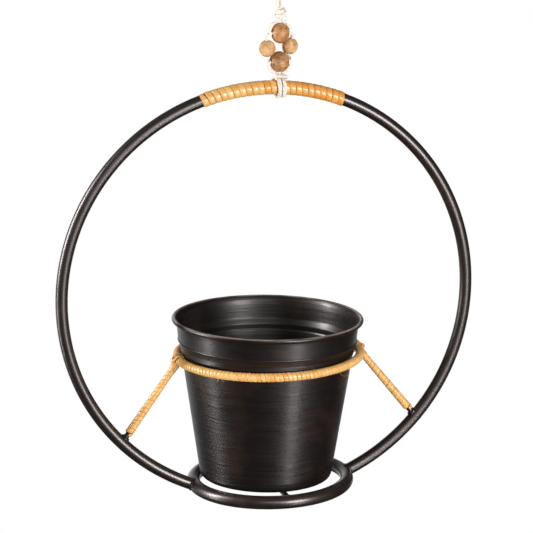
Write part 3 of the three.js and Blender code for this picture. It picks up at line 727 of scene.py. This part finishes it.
def turned_wood(wood, grain, crack=None, eye=None):
    """Beech turned, tumbled and waxed: fine grain along the hole, pores, maybe a crack painted in as
    near-black shade, and a knot's eye.
    """
    def build(tree, colours):
        place = add(tree, "TexCoord").outputs["Object"]
        bent = add(tree, "Mapping", {"Vector": place, "Rotation": (0.25, 0.2, 0), "Scale": (1, 1, 0.14)})
        lines = add(tree, "TexNoise", {
            "Vector": bent, "Scale": 1 / (0.9 * MM), "Detail": 3.0, "Roughness": 0.6, "Distortion": 0.3})
        mottle = add(tree, "TexNoise", {
            "Vector": place, "Scale": 1 / (6 * MM), "Detail": 4.0, "Roughness": 0.6})
        mixed = add(tree, "Math", {0: mottle, 1: 1.1, 2: lines}, operation="MULTIPLY_ADD")
        shade = dark = add(tree, "MapRange", {0: mixed, 1: 0.85, 2: 1.3})
        if eye:
            # Growth rings 1.5 mm apart round the knot's eye, gone 5 mm off
            off = add(tree, "VectorMath", {0: place, 1: eye}, operation="DISTANCE")
            bent_off = add(tree, "Math", {0: mottle, 1: 2.5 * MM, 2: off}, operation="MULTIPLY_ADD")
            phase = add(tree, "Math", {0: bent_off, 1: 2 * math.pi / (1.5 * MM)}, operation="MULTIPLY")
            wave = add(tree, "Math", {0: phase}, operation="SINE")
            near = add(tree, "MapRange", {0: off, 1: 5 * MM, 2: 1.5 * MM, 4: 0.45})
            dark = add(tree, "Math", {0: wave, 1: near, 2: shade}, operation="MULTIPLY_ADD")
        tone = add(tree, "Mix", {
            0: dark, 6: getattr(colours, wood), 7: getattr(colours, grain)}, data_type="RGBA")
        if crack:
            # Ragged, some 2 mm across, and near black inside: painted shade, as the bead's shape has no crack
            off = add(tree, "VectorMath", {0: place, 1: crack}, operation="DISTANCE")
            ragged = add(tree, "Math", {0: lines, 1: 2.4 * MM, 2: off}, operation="MULTIPLY_ADD")
            inside = add(tree, "MapRange", {0: ragged, 1: 2.6 * MM, 2: 1.9 * MM, 4: 0.9})
            tone = add(tree, "Mix", {0: inside, 6: tone, 7: (0.02, 0.012, 0.008)}, data_type="RGBA")
        pores = add(tree, "TexNoise", {"Vector": bent, "Scale": 1 / (0.35 * MM), "Detail": 2.0})
        bump = add(tree, "Bump", {"Strength": 0.35, "Distance": 0.08 * MM, "Height": pores})
        gloss = add(tree, "MapRange", {0: shade, 3: 0.42, 4: 0.6})
        return {"Base Color": tone, "Roughness": gloss, "Normal": bump}
    return build


FRAME_PAINT = ("Powder-coated mild steel, satin black", powder_coat)
POT_PAINT = ("Painted spun steel, satin black", spun_paint)
CANE = ("Peeled rattan cane, waxed", peeled_cane)
COTTON = ("Twisted cotton cord, natural", twisted_cotton)


# ---------------------------------------------------------------- operators


class PLANTER_OT_camera(bpy.types.Operator):
    """Place the camera in front of the planter, a little to the left and above"""

    bl_idname = "planter.camera"
    bl_label = "Camera"

    azimuth, elevation, roll = (math.radians(a) for a in (-14.15, 13.14, -0.75))
    distance, lens = 2.0267, 167.8
    target = Vector((-0.01305, 0, -0.26507))

    def execute(self, context):
        out = Vector((
            math.sin(self.azimuth) * math.cos(self.elevation),
            -math.cos(self.azimuth) * math.cos(self.elevation),
            math.sin(self.elevation)))
        right = Vector((0, 0, 1)).cross(out).normalized()
        up = out.cross(right)
        across = right * math.cos(self.roll) + up * math.sin(self.roll)
        above = up * math.cos(self.roll) - right * math.sin(self.roll)
        data = bpy.data.cameras.new("camera")
        data.lens = self.lens
        data.sensor_width = 36
        data.clip_start, data.clip_end = 0.05, 30
        camera = bpy.data.objects.new("camera", data)
        turn = Matrix((across, above, out)).transposed().to_4x4()
        camera.matrix_world = Matrix.Translation(self.target + out * self.distance) @ turn
        context.scene.collection.objects.link(camera)
        context.scene.camera = camera
        return {"FINISHED"}


class PLANTER_OT_knots(bpy.types.Operator):
    """Tie the two knots, with the cord's ends above the upper one"""

    bl_idname = "planter.knots"
    bl_label = "Knots"

    # How thick the cord is where a knot is drawn tight, as a share of its diameter
    tight = 0.92
    # Hairs at each cut end, their radius, and how far the lowest and the highest rise, in millimetres
    hairs, hair_radius, lowest, highest = 16, 0.16, 1.6, 2.6

    def execute(self, context):
        cord = context.scene.planter_cord
        self.knot(cord, "knot_middle", "middle_knot", "beaded_cord", 0.9)
        self.knot(cord, "knot_end", "end_knot", "hanging_eye", -0.6)
        for side, word in SIDES:
            self.tail(cord, side, word)
        return {"FINISHED"}

    def knot(self, cord, name, node, body, lean):
        """Ties a knot as high as its solid, with a core that fills its middle."""
        low, high = corners(node)
        centre, height = (low + high) / 2, high[2] - low[2]
        shell = Shell()
        tight = cord.diameter * self.tight
        for rings, run in knot_rings(centre, cord.knot_radius, height, tight, cord.lay, lean):
            shell.add(rings, run=run)
        # Radius in millimetres and share of the height
        core = ((0.3, -0.4), (2.5, -0.34), (3.5, -0.12), (3.5, 0.12), (2.5, 0.34), (0.3, 0.4))
        shell.add(turned([(radius * MM, share * height) for radius, share in core], 20, centre))
        shell.piece(name, finish(*COTTON), body, "cotton", (node,))

    def tail(self, cord, side, word):
        """Lays a cut end, with hairs that stand out of the cut."""
        low, high = corners(f"cord_tail_{word}")
        middle = (low + high) / 2
        # From inside the knot up and outwards, a little short of the solid's top, which the hairs reach
        points = smooth_route([
            (middle[0] * 0.8, 0, low[2] - 2 * MM), (middle[0], 0, low[2]), (middle[0] * 1.3, 0, middle[2]),
            (middle[0] * 1.9, 0.4 * MM * side, high[2] - 1.2 * MM)], CORD_STEP)
        rings, run = plied(points, cord.diameter, cord.lay, *carried(points, (1, 0, 0)))
        shell = Shell().add(rings, run=run)
        rng = np.random.default_rng(40 + side)
        thin = np.linspace(1, 0.45, 5)
        for _ in range(self.hairs):
            # Rooted a little inside the cord, and spreading out towards the tip
            x, y = rng.uniform(-1, 1, 2) * 0.8 * MM
            root = points[-1] + [x, y, -0.6 * MM]
            rise = rng.uniform(self.lowest, self.highest) * MM
            hair = np.linspace(root, root + [x * 0.9 + side * 0.3 * MM, y * 0.9, rise], len(thin))
            shell.add(sweep(hair, circle(self.hair_radius * MM, 6), *carried(hair, (1, 0, 0)), thin))
        shell.piece(f"tail_{word}", finish(*COTTON), "hanging_eye", "cotton", (f"cord_tail_{word}",))


class PLANTER_OT_hitch(bpy.types.Operator):
    """Tie the cord round the bound hoop in a cow hitch"""

    bl_idname = "planter.hitch"
    bl_label = "Hitch"

    # The cord lies flatter round the hoop than it hangs, and its plies turn more slowly
    untwisted, wide, thick = 1.6, 1.42, 0.92

    def execute(self, context):
        at = places()
        lap = at.bound + HITCH_SEAT + at.cord.diameter / 2

        def spot(across, degrees, lift):
            angle, reach = math.radians(degrees), lap + lift * MM
            return np.array([across * MM, -reach * math.cos(angle), reach * math.sin(angle)])

        leg = [np.array(point) * MM for point in HITCH_END] + [spot(*key) for key in HITCH_LEG]
        points = smooth_route([point * MIRROR for point in leg] + [spot(*HITCH_TOP)] + leg[::-1], CORD_STEP)
        tangents = unit(np.gradient(points, axis=0))
        out = points * [0, 1, 1]
        out = unit(out - tangents * (out * tangents).sum(1)[:, None])
        rings, run = plied(points + at.hitch, at.cord.diameter, at.cord.lay * self.untwisted,
                           np.cross(tangents, out), out, self.wide, self.thick)
        Shell().add(rings, run=run).piece("hitch_cord", finish(*COTTON), "hitch", "cotton", ("cord_hitch",))
        return {"FINISHED"}


class PLANTER_OT_strands(bpy.types.Operator):
    """Lay the two cords from the hitch through the beads and the middle knot to the end knot"""

    bl_idname = "planter.strands"
    bl_label = "Strands"

    # The other pieces on each cord
    pieces = {
        "left": ["knot_middle", "knot_end", "tail_left", "hitch_cord", "wood_top", "wood_bottom",
                 "wood_right"],
        "right": ["tail_right", "wood_left"],
    }

    def execute(self, context):
        cord = context.scene.planter_cord
        half = np.array(EYE_RIGHT)
        for word, strand, eye in (("left", STRAND_LEFT, half * MIRROR), ("right", STRAND_RIGHT, half)):
            # It starts a little inside the hitch and goes up through the middle knot
            under = np.array(strand[0]) - (0, 0, 0.3)
            inside = (eye[0][0] + 0.5, 0, -58.5)
            points = smooth_route(np.array([under, *strand, inside, *eye]) * MM, CORD_STEP)
            rings, run = plied(points, cord.diameter, cord.lay, *carried(points, (1, 0, 0)))
            made = Shell().add(rings, run=run).piece(f"cord_{word}", finish(*COTTON))
            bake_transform(made)
            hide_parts(f"cord_strand_{word}", f"cord_eye_{word}")
        return {"FINISHED"}


class PLANTER_OT_beads(bpy.types.Operator):
    """Turn the four wooden beads"""

    bl_idname = "planter.beads"
    bl_label = "Beads"

    # Place of the centre, length along the hole and diameter, in millimetres, then the hole's lean in degrees
    beads = (
        ("top", (0.8, 0, -74.25), 13.2, 16.6, 90, "brown", "bead_dark"),
        ("bottom", (-0.2, 0, -97.25), 14.2, 16.5, 90, "olive", "bead_dark"),
        ("left", (-10.25, -0.8, -86.1), 12.7, 13.4, -6, "pale", "bead_pale"),
        ("right", (9.5, 3.6, -85.65), 12.6, 12.9, 13, "pale", "bead_pale"),
    )
    # On the lower bead, from its centre, in millimetres: a crack in painted shade and a knot's eye
    marks = {"olive": ((-6.25, -5.14, -1.56), (1.0, -4.6, 6.75))}

    def execute(self, context):
        cord = context.scene.planter_cord
        for number, (word, place, long, wide, lean, wood, slot) in enumerate(self.beads):
            hole = (cord.hole_single if wood == "pale" else cord.hole_pair) / 2
            rings = self.bead(number, hole, long * MM / 2, wide * MM / 2)
            # Each is turned about its hole by another angle, so that their dents don't line up
            turn = Matrix.Rotation(math.radians(lean), 4, "Y") @ Matrix.Rotation(number * 1.3, 4, "Z")
            marks = [turn.inverted() @ Vector(mark) * MM for mark in self.marks.get(wood, ())]
            material = finish(
                f"Waxed turned beech, {wood}, {word}", turned_wood(f"{wood}_wood", f"{wood}_grain", *marks))
            Shell().add(rings, closed=True).piece(
                f"wood_{word}", material, f"{word}_bead", slot, (f"bead_{word}",),
                Matrix.Translation(Vector(place) * MM) @ turn)
        return {"FINISHED"}

    def bead(self, number, hole, half, radius):
        """Rings of a bead round its hole, chamfered at both ends and a little dented from tumbling."""
        # Width and depth of the chamfer, size of the dents as a share of the radius, and rings outside
        chamfer, edge, dents, outer_rings = 0.55 * MM, 0.45 * MM, 0.0035, 31
        reach = math.acos((hole + chamfer) / radius)
        angles = np.linspace(-reach, reach, outer_rings)
        outside = np.column_stack([radius * np.cos(angles), half / math.sin(reach) * np.sin(angles)])
        inside = [(hole, half - edge), (hole, half * 0.4), (hole, -half * 0.4), (hole, -half + edge)]
        rings = turned(np.vstack([outside, inside]), 64)
        rng = np.random.default_rng(7 + number)
        waves = rng.normal(size=(9, 3)) / (radius * 1.1)
        swell = sum(np.sin(rings @ wave + phase) for wave, phase in zip(waves, rng.uniform(0, 6, 9)))
        rings[:outer_rings, :, :2] *= 1 + dents * swell[:outer_rings, :, None]
        return rings


class PLANTER_OT_frame(bpy.types.Operator):
    """Bend the hoop and the base ring, and weld in the crossbar, the pot ring and the arms"""

    bl_idname = "planter.frame"
    bl_label = "Frame"

    tube_sides, rod_sides = 32, 20
    hoop_steps, bar_steps, arm_steps = 260, 40, 24

    def execute(self, context):
        at = places()
        hoop = at.hoop
        # The hoop runs down until it is well inside the base ring
        end = math.pi - math.atan2(hoop.base_radius, at.centre[2] - at.base[2]) - 0.6 * MM / hoop.radius
        self.steel("hoop", "hoop_tube", arc_rings(
            at.centre, hoop.radius, hoop.tube, -end, end, self.hoop_steps, self.tube_sides, upright=True))
        self.steel("foot_ring", "base_ring", flat_ring(
            at.base, hoop.base_radius, hoop.base_tube, self.tube_sides), closed=True)
        reach = np.array([0, hoop.base_radius, 0])
        self.steel("pot_bar", "crossbar", straight_rod(
            at.bar - reach, at.bar + reach, hoop.bar / 2, self.bar_steps))
        self.steel("pot_ring", "pot_ring_rod", flat_ring(
            at.ring, at.ring_radius, at.pot.ring_rod, self.rod_sides), closed=True)
        for side, word in SIDES:
            foot, direction, span = arm_line(at, side)
            self.steel(f"arm_{word}", f"arm_rod_{word}", straight_rod(
                foot, foot + direction * span, hoop.arm / 2, self.arm_steps))
        self.weld(at, end)
        return {"FINISHED"}

    def steel(self, name, node, rings, closed=False):
        """Makes one painted piece of the frame."""
        nodes = (node,) if node else ()
        Shell().add(rings, closed=closed).piece(
            name, finish(*FRAME_PAINT), "hoop_frame", "black_frame", nodes)

    def weld(self, at, end):
        """Lays a weld bead where each rod or tube runs into another."""
        hoop, radius = at.hoop, at.hoop.tube / 2
        off_hoop = off_tube(at.centre, hoop.radius, hoop.tube, (0, 2, 1))
        off_base = off_tube(at.base, hoop.base_radius, hoop.base_tube, (0, 1, 2))
        # Name, start and direction of the rod, its radius, distance off the other tube, and the bead's size
        seams = []
        for side, word in SIDES:
            foot, direction, _ = arm_line(at, side)
            seams.append((f"weld_arm_{word}", foot, direction, hoop.arm / 2, off_hoop, 1.2))
            angle = end * side
            tip = at.centre + hoop.radius * np.array([math.sin(angle), 0, math.cos(angle)])
            back = np.array([-math.cos(angle), 0, math.sin(angle)]) * side
            seams.append((f"weld_hoop_{word}", tip, back, radius * 0.96, off_base, 0.75))
        for side, word in ((-1, "front"), (1, "back")):
            foot = at.bar + [0, side * hoop.base_radius, 0]
            seams.append((f"weld_bar_{word}", foot, np.array([0, -side, 0.0]), hoop.bar / 2, off_base, 0.8))
        for number, (name, *seam) in enumerate(seams):
            self.steel(name, None, self.bead(number, hoop.weld / 2, 3 * radius, *seam), closed=True)

    def bead(self, number, half, far, start, direction, rod, off, size):
        """Rings of a slightly lumpy weld bead round the rod where it leaves the other tube."""
        count, halvings = 64, 40
        turn = np.arange(count) * 2 * np.pi / count
        first = np.cross(direction, [0.3, 0.9, 0.2])
        first = first / np.linalg.norm(first)
        second = np.cross(direction, first)
        out = np.cos(turn)[:, None] * first + np.sin(turn)[:, None] * second
        # Halving the way between inside and outside, line by line along the rod
        low, high = np.zeros(count), np.full(count, far)
        for _ in range(halvings):
            middle = (low + high) / 2
            inside = off(start + out * rod + direction * middle[:, None]) < 0
            low, high = np.where(inside, middle, low), np.where(inside, high, middle)
        seam = start + out * rod + direction * high[:, None]
        rng = np.random.default_rng(20 + number)
        lumps = sum(0.05 * np.sin(k * turn + rng.uniform(0, 6)) for k in (2, 3, 5, 7))
        half = half * size * (1 + lumps)
        along = unit(np.roll(seam, -1, 0) - np.roll(seam, 1, 0))
        # Its middle stands off the seam by a tenth of its half width
        return sweep(seam + out * (half * 0.1)[:, None], circle(1, 14), out, np.cross(along, out), half)


class PLANTER_OT_cane(bpy.types.Operator):
    """Bind the hoop's top, the arms and the pot ring with cane, and lash the arms to the ring"""

    bl_idname = "planter.cane"
    bl_label = "Cane"

    # Rings in each turn of a strip
    hoop_steps, arm_steps, ring_steps = 40, 28, 22
    # Width of a strip as a share of its pitch
    hoop_width, ring_width = 0.985, 0.98
    # From a rod to the back of its strip
    hoop_play, arm_play, ring_play = 0.05 * MM, 0.04 * MM, 0.05 * MM
    # What an arm's strip leaves free at its head, for the lashing, and at its foot, next to the bare part
    arm_head, arm_foot = 8 * MM, 1.1 * MM
    # Lift added to an arm's strip, from its foot to its head
    arm_swell = 0.55 * MM, -0.15 * MM

    def execute(self, context):
        at = places()
        self.bind(at)
        for side, word in SIDES:
            self.lash(at, side, word)
        self.loose_ends(at)
        return {"FINISHED"}

    def strip(self, name, wound, *nodes):
        """Makes one strip from its rings and the turns at which they are."""
        rings, run = wound
        Shell().add(rings, run=run).piece(name, finish(*CANE), "hoop_frame", "cane", nodes)

    def bind(self, at):
        """Winds the strips."""
        cane, hoop = at.cane, at.hoop
        outline = strip_outline(cane.hoop_pitch * self.hoop_width, cane.thickness, cane.crown)
        self.strip("binding_hoop", wind(
            on_hoop(at), hoop.radius * cane.hoop_start, cane.hoop_pitch, cane.hoop_turns, self.hoop_steps,
            hoop.tube / 2 + self.hoop_play, outline, 3, gap_after=2), "hoop_cane")
        outline = strip_outline(cane.arm_pitch, cane.thickness, cane.crown * 0.6)
        for side, word in SIDES:
            _, _, span = arm_line(at, side)
            start = hoop.tube / 2 + hoop.arm_bare
            turns = round((span - start - self.arm_head) / cane.arm_pitch)
            self.strip(f"binding_arm_{word}", wind(
                on_arm(at, side), start + self.arm_foot, cane.arm_pitch, turns, self.arm_steps,
                hoop.arm / 2 + self.arm_play, outline, 11 + side, swell=self.arm_swell),
                f"arm_cane_{word}")
        pitch = 2 * np.pi * at.ring_radius / cane.ring_turns
        outline = strip_outline(pitch * self.ring_width, cane.thickness, cane.crown)
        self.strip("binding_ring", wind(
            on_ring(at), 0, pitch, cane.ring_turns, self.ring_steps, at.ring_inner + self.ring_play,
            outline, 5), "ring_cane_front", "ring_cane_back")

    def lash(self, at, side, word):
        """Crosses two strips over the joint of arm and ring, and winds one round the arm's head."""
        foot, direction, span = arm_line(at, side)
        joint, down, aside = foot + direction * span, -direction, np.array([0.0, 1.0, 0.0]) * side
        out = np.cross(down, aside)
        ring, arm = at.ring_inner + at.cane.thickness + 0.45 * MM, at.hoop.arm / 2 + 0.3 * MM
        outline = strip_outline(at.cane.lashing, at.cane.thickness, at.cane.crown)
        shell = Shell()

        def key(t, a, n, look):
            point = joint + (aside * t + down * a + out * n)
            return point, aside * look[0] + down * look[1] + out * look[2]

        # Each point along the ring, down the arm and outwards, and the way that the strip's face looks there.
        # The second strip lies over the first: it crosses the ring further out and the arm higher up
        for number, lift in enumerate((0.0, 0.45 * MM)):
            wide, low = (2.3 + 2.6 * number) * MM, (7.6 - 2.4 * number) * MM
            r, b = ring + lift, arm + lift
            rings = ribbon([
                key(wide, -r, 0, (0.1, -1, 0)),
                key(wide * 0.95, -0.5 * r, 0.87 * r, (0.1, -0.5, 0.9)),
                key(wide * 0.7, 0.25 * r, 1.0 * r, (0, 0, 1)),
                key(0, 3.4 * MM, r + 0.25 * MM, (0, 0, 1)),
                key(-0.75 * b, low - 1.4 * MM, 0.75 * b, (-0.6, 0, 0.8)),
                key(-b, low, 0, (-1, 0, 0)),
                key(-0.6 * b, low + 0.4 * MM, -0.8 * b, (-0.6, 0, -0.8)),
                key(0.6 * b, low + 0.4 * MM, -0.8 * b, (0.6, 0, -0.8)),
                key(b, low, 0, (1, 0, 0)),
                key(0.75 * b, low - 1.4 * MM, 0.75 * b, (0.6, 0, 0.8)),
                key(0, 3.4 * MM, r + 0.95 * MM, (0, 0, 1)),
                key(-wide * 0.7, 0.25 * r, 1.0 * r + 0.2 * MM, (0, 0, 1)),
                key(-wide * 0.95, -0.5 * r, 0.87 * r, (-0.1, -0.5, 0.9)),
                key(-wide, -r, 0, (-0.1, -1, 0)),
                key(-wide * 0.9, -0.5 * r, -0.87 * r, (-0.1, -0.5, -0.9)),
                key(0, 0.3 * r, -1.0 * r, (0, 0.3, -1)),
                key(wide * 0.9, -0.5 * r, -0.87 * r, (0.1, -0.5, -0.9)),
                key(wide, -r, 0, (0.1, -1, 0)),
            ], outline)
            shell.add(rings, run=np.linspace(0, 3, len(rings)) + 5 * number)
        head = span - 10.5 * MM
        rings, run = wind(on_arm(at, side), head, at.cane.lashing * 1.02, 2, self.arm_steps,
                          arm + 0.1 * MM, outline, 60 + side)
        shell.add(rings, run=run)
        shell.piece(f"lashing_{word}", finish(*CANE), "hoop_frame", "cane", (f"ring_lashing_{word}",))

    def loose_ends(self, at):
        """Fibres that stand off the binding of the ring."""
        # Degrees round the ring, start above or below it, length, and where the tip goes, in millimetres
        fibres = (
            (-76.5, 0.9, (-1.5, -1.0, 4.6)), (-57.5, -0.9, (7.2, -1.2, -2.8)),
            (-135.5, -0.9, (-1.2, -1.5, -3.0)), (-133.0, -0.9, (1.6, -1.2, -2.6)),
            (-116.0, 0.9, (1.2, -0.8, 2.4)), (40.0, 0.8, (3.0, 2.0, 2.2)),
        )
        place = on_ring(at)
        shell = Shell()
        for degrees, height, tip in fibres:
            along = np.array((math.radians(degrees) + np.pi) * at.ring_radius)
            origin, out, _ = place(along)
            # Rooted in the strip, whose face is about 3.5 mm off the rod's middle
            root = origin + out * 2.2 * MM + [0, 0, height * 2.6 * MM]
            tip = np.array(tip) * MM
            bend = np.array([0, 0, 0.25 * np.linalg.norm(tip) * np.sign(-height)])
            points = smooth_route([root, root + tip * 0.5 - bend, root + tip], 0.3 * MM)
            thin = np.linspace(1, 0.35, len(points))
            shell.add(sweep(points, circle(0.24 * MM, 6) * [1, 0.5], *carried(points, (0, 1, 0.2)), thin))
        shell.piece("loose_fibres", finish(*CANE), "hoop_frame", "cane")


class PLANTER_OT_pot(bpy.types.Operator):
    """Spin the pot with its collar, band and rolled rim"""

    bl_idname = "planter.pot"
    bl_label = "Pot"

    # Radius of the lip's bead and of the corners at the steps and at the collar
    lip, step_corner, collar_corner = 0.75 * MM, 0.7 * MM, 0.9 * MM
    # Radius of the floor's flat middle, and the greatest distance between two rings of points
    hub, most = 6 * MM, 5 * MM
    segments = 200

    def execute(self, context):
        at = places()
        pot, wall, band, body = at.pot, at.pot.wall, at.band_radius, at.body_top
        collar_low, collar_top = band + 2 * MM, band + 3.2 * MM
        # Heights of the body's top, the band's foot and top, and the collar's foot and top
        z1, z2, z3, z4, z5 = np.cumsum([
            pot.body_height, pot.step, pot.band_height, pot.cove, pot.collar_height])
        bead = pot.rim_bead / 2
        roll = self.bend((pot.rim_radius, z5 + pot.rim_height - bead), bead, -140, 141)
        under = roll[0]
        flare = np.array([collar_top + 0.45 * (under[0] - collar_top), z5 + 0.7 * (under[1] - z5)])
        # The collar's foot is a rolled lip that stands out over the hollow
        lip = self.bend((collar_low - 0.15 * MM, z4 + self.lip), self.lip, -110, 71)
        foot = rounded([(self.hub, 0), (pot.foot_radius, 0), (body, z1)], pot.foot_corner * 1.4, 8)[:-1]
        low = rounded([foot[-1], (body, z1), (band, z2), (band, z3), lip[0]], self.step_corner)[1:]
        high = rounded([lip[-1], (collar_top, z5), flare, under], self.collar_corner)[1:]
        inside = rounded([
            roll[-1], (under[0] - wall, under[1] + 0.6 * MM), flare - [wall, -wall / 3],
            (collar_top - wall, z5), (collar_low - wall, z4 + wall / 2), (band - wall, z3 + wall / 2),
            (band - wall, z2), (body - wall, z1), (pot.foot_radius - wall, 2 * wall), (self.hub, wall),
        ], self.collar_corner)[1:]
        profile = self.filled(np.array([*foot, *low, *lip[1:], *high, *roll[1:], *inside]))
        Shell().add(turned(profile, self.segments)).piece(
            "spun_pot", finish(*POT_PAINT), "plant_pot", "black_pot", ("pot",), at.pot_place)
        return {"FINISHED"}

    def bend(self, centre, radius, start, end):
        """Points every 20 degrees round a bend in the profile."""
        return [np.array(centre) + radius * np.array([math.cos(angle), math.sin(angle)])
                for angle in np.radians(np.arange(start, end, 20))]

    def filled(self, profile):
        """A profile with points added where two are far apart."""
        drawn = [profile[0]]
        for before, after in zip(profile, profile[1:]):
            count = max(1, math.ceil(np.linalg.norm(after - before) / self.most))
            drawn += [before + (after - before) * k / count for k in range(1, count + 1)]
        return np.array(drawn)


class PLANTER_OT_stage(bpy.types.Operator):
    """Set the pale floor, the white surroundings and the soft lamps"""

    bl_idname = "planter.stage"
    bl_label = "Stage"

    # Each lamp's azimuth from the front towards the right and its elevation, then width and height, and power
    lamps = (
        ("lamp_left", -99, 15, (0.26, 1.05), 31),
        ("lamp_left_low", -96, -19, (0.3, 0.6), 4.5),
        ("lamp_right", 21, 4, (0.62, 0.68), 26),
        ("lamp_right_low", 25, -31, (0.42, 0.42), 4.2),
        ("lamp_front", -8, 16, (0.9, 0.4), 3),
    )
    lamp_distance = 1.7
    lamp_colour = (1, 0.94, 0.93)
    middle = Vector((-0.012, 0, -0.27))
    floor_drop, floor_radius = 1.2, 6
    # Light from all round on matt faces, and what gloss shows of the room in front of the backdrop
    world_light, room_light = 0.34, 0.03

    def execute(self, context):
        scene = context.scene
        scene.view_settings.view_transform = "Standard"
        self.floor()
        self.surroundings(scene)
        for name, azimuth, elevation, (wide, high), power in self.lamps:
            data = bpy.data.lights.new(name, "AREA")
            data.shape, data.size, data.size_y, data.energy = "RECTANGLE", wide, high, power
            data.color = self.lamp_colour
            lamp = bpy.data.objects.new(name, data)
            turn = math.radians(azimuth)
            out = Vector((math.sin(turn), -math.cos(turn), math.tan(math.radians(elevation))))
            lamp.matrix_world = (Matrix.Translation(self.middle + out * self.lamp_distance)
                                 @ out.to_track_quat("Z", "Y").to_matrix().to_4x4())
            scene.collection.objects.link(lamp)
        return {"FINISHED"}

    def shown(self, tree, behind, plain):
        """Strength that rays see: white from the camera, the room or the backdrop in gloss, else plain."""
        path = add(tree, "LightPath").outputs
        gloss = add(tree, "Mix", {0: path["Is Glossy Ray"], 2: plain, 3: behind})
        straight = add(tree, "Math", {
            0: path["Is Camera Ray"], 1: path["Is Transmission Ray"]}, operation="MAXIMUM")
        return add(tree, "Mix", {0: straight, 2: gloss, 3: 1.0})

    def floor(self):
        """A large round floor under the hanging planter, which runs up to the white backdrop behind it."""
        made = bpy.data.materials.new("Matt white floor")
        made.use_nodes = True
        tree = made.node_tree
        tree.nodes.clear()
        place = add(tree, "TexCoord").outputs["Object"]
        back = add(tree, "SeparateXYZ", {0: place}).outputs["Y"]
        behind = add(tree, "MapRange", {0: back, 1: 2.0, 2: 5.0, 3: self.room_light, 4: 1.0})
        white = add(tree, "Emission", {"Color": (1, 1, 1), "Strength": self.shown(tree, behind, 0.0)})
        matt = add(tree, "BsdfDiffuse", {"Color": (0.8, 0.8, 0.8)})
        path = add(tree, "LightPath").outputs
        direct = add(tree, "Math", {0: path["Is Camera Ray"], 1: path["Is Glossy Ray"]}, operation="MAXIMUM")
        through = add(tree, "Math", {0: direct, 1: path["Is Transmission Ray"]}, operation="MAXIMUM")
        mixed = add(tree, "MixShader", {0: through, 1: matt, 2: white})
        add(tree, "OutputMaterial", {0: mixed})
        mesh = bpy.data.meshes.new("floor")
        work = bmesh.new()
        bmesh.ops.create_circle(work, cap_ends=True, segments=96, radius=self.floor_radius)
        work.to_mesh(mesh)
        work.free()
        mesh.materials.append(made)
        floor = bpy.data.objects.new("floor", mesh)
        floor.location.z = CAD_BOX[0][2] - self.floor_drop
        bpy.context.scene.collection.objects.link(floor)

    def surroundings(self, scene):
        """A white backdrop behind the planter, and an even light on it from all round."""
        world = bpy.data.worlds.new("Soft white studio")
        scene.world = world
        world.use_nodes = True
        tree = world.node_tree
        tree.nodes.clear()
        way = add(tree, "TexCoord").outputs["Generated"]
        _, back, up = add(tree, "SeparateXYZ", {0: way}).outputs
        ceiling = add(tree, "MapRange", {0: up, 1: 0.1, 2: 0.9, 3: self.room_light, 4: 3 * self.room_light})
        behind = add(tree, "MapRange", {0: back, 1: 0.9, 2: 0.99, 3: ceiling, 4: 1.0})
        strength = self.shown(tree, behind, self.world_light)
        light = add(tree, "Background", {"Color": (1, 1, 1), "Strength": strength})
        add(tree, "OutputWorld", {0: light})


class PLANTER_PT_panel(bpy.types.Panel):
    """Steps and sizes of the planter"""

    bl_idname = "PLANTER_PT_panel"
    bl_label = "Hanging planter"
    bl_space_type = "VIEW_3D"
    bl_region_type = "UI"
    bl_category = "Planter"

    def draw(self, context):
        for operator in STEPS:
            self.layout.operator(operator.bl_idname)
        for name in GROUPS:
            group = getattr(context.scene, name)
            box = self.layout.box()
            for key in group.__annotations__:
                box.prop(group, key)


GROUPS = {
    "planter_hoop": PLANTER_PG_hoop,
    "planter_pot": PLANTER_PG_pot,
    "planter_cane": PLANTER_PG_cane,
    "planter_cord": PLANTER_PG_cord,
    "planter_colours": PLANTER_PG_colours,
}
STEPS = (
    PLANTER_OT_camera, PLANTER_OT_knots, PLANTER_OT_hitch, PLANTER_OT_beads, PLANTER_OT_strands,
    PLANTER_OT_frame, PLANTER_OT_cane, PLANTER_OT_pot, PLANTER_OT_stage,
)
CLASSES = (*GROUPS.values(), *STEPS, PLANTER_PT_panel)


def register():
    for made in CLASSES:
        bpy.utils.register_class(made)
    for name, group in GROUPS.items():
        setattr(bpy.types.Scene, name, PointerProperty(type=group))


def unregister():
    for name in GROUPS:
        delattr(bpy.types.Scene, name)
    for made in reversed(CLASSES):
        bpy.utils.unregister_class(made)


def main():
    """Builds the planter and its stage."""
    register()
    for step in STEPS:
        group, name = step.bl_idname.split(".")
        getattr(getattr(bpy.ops, group), name)()


if __name__ == "__main__":
    main()
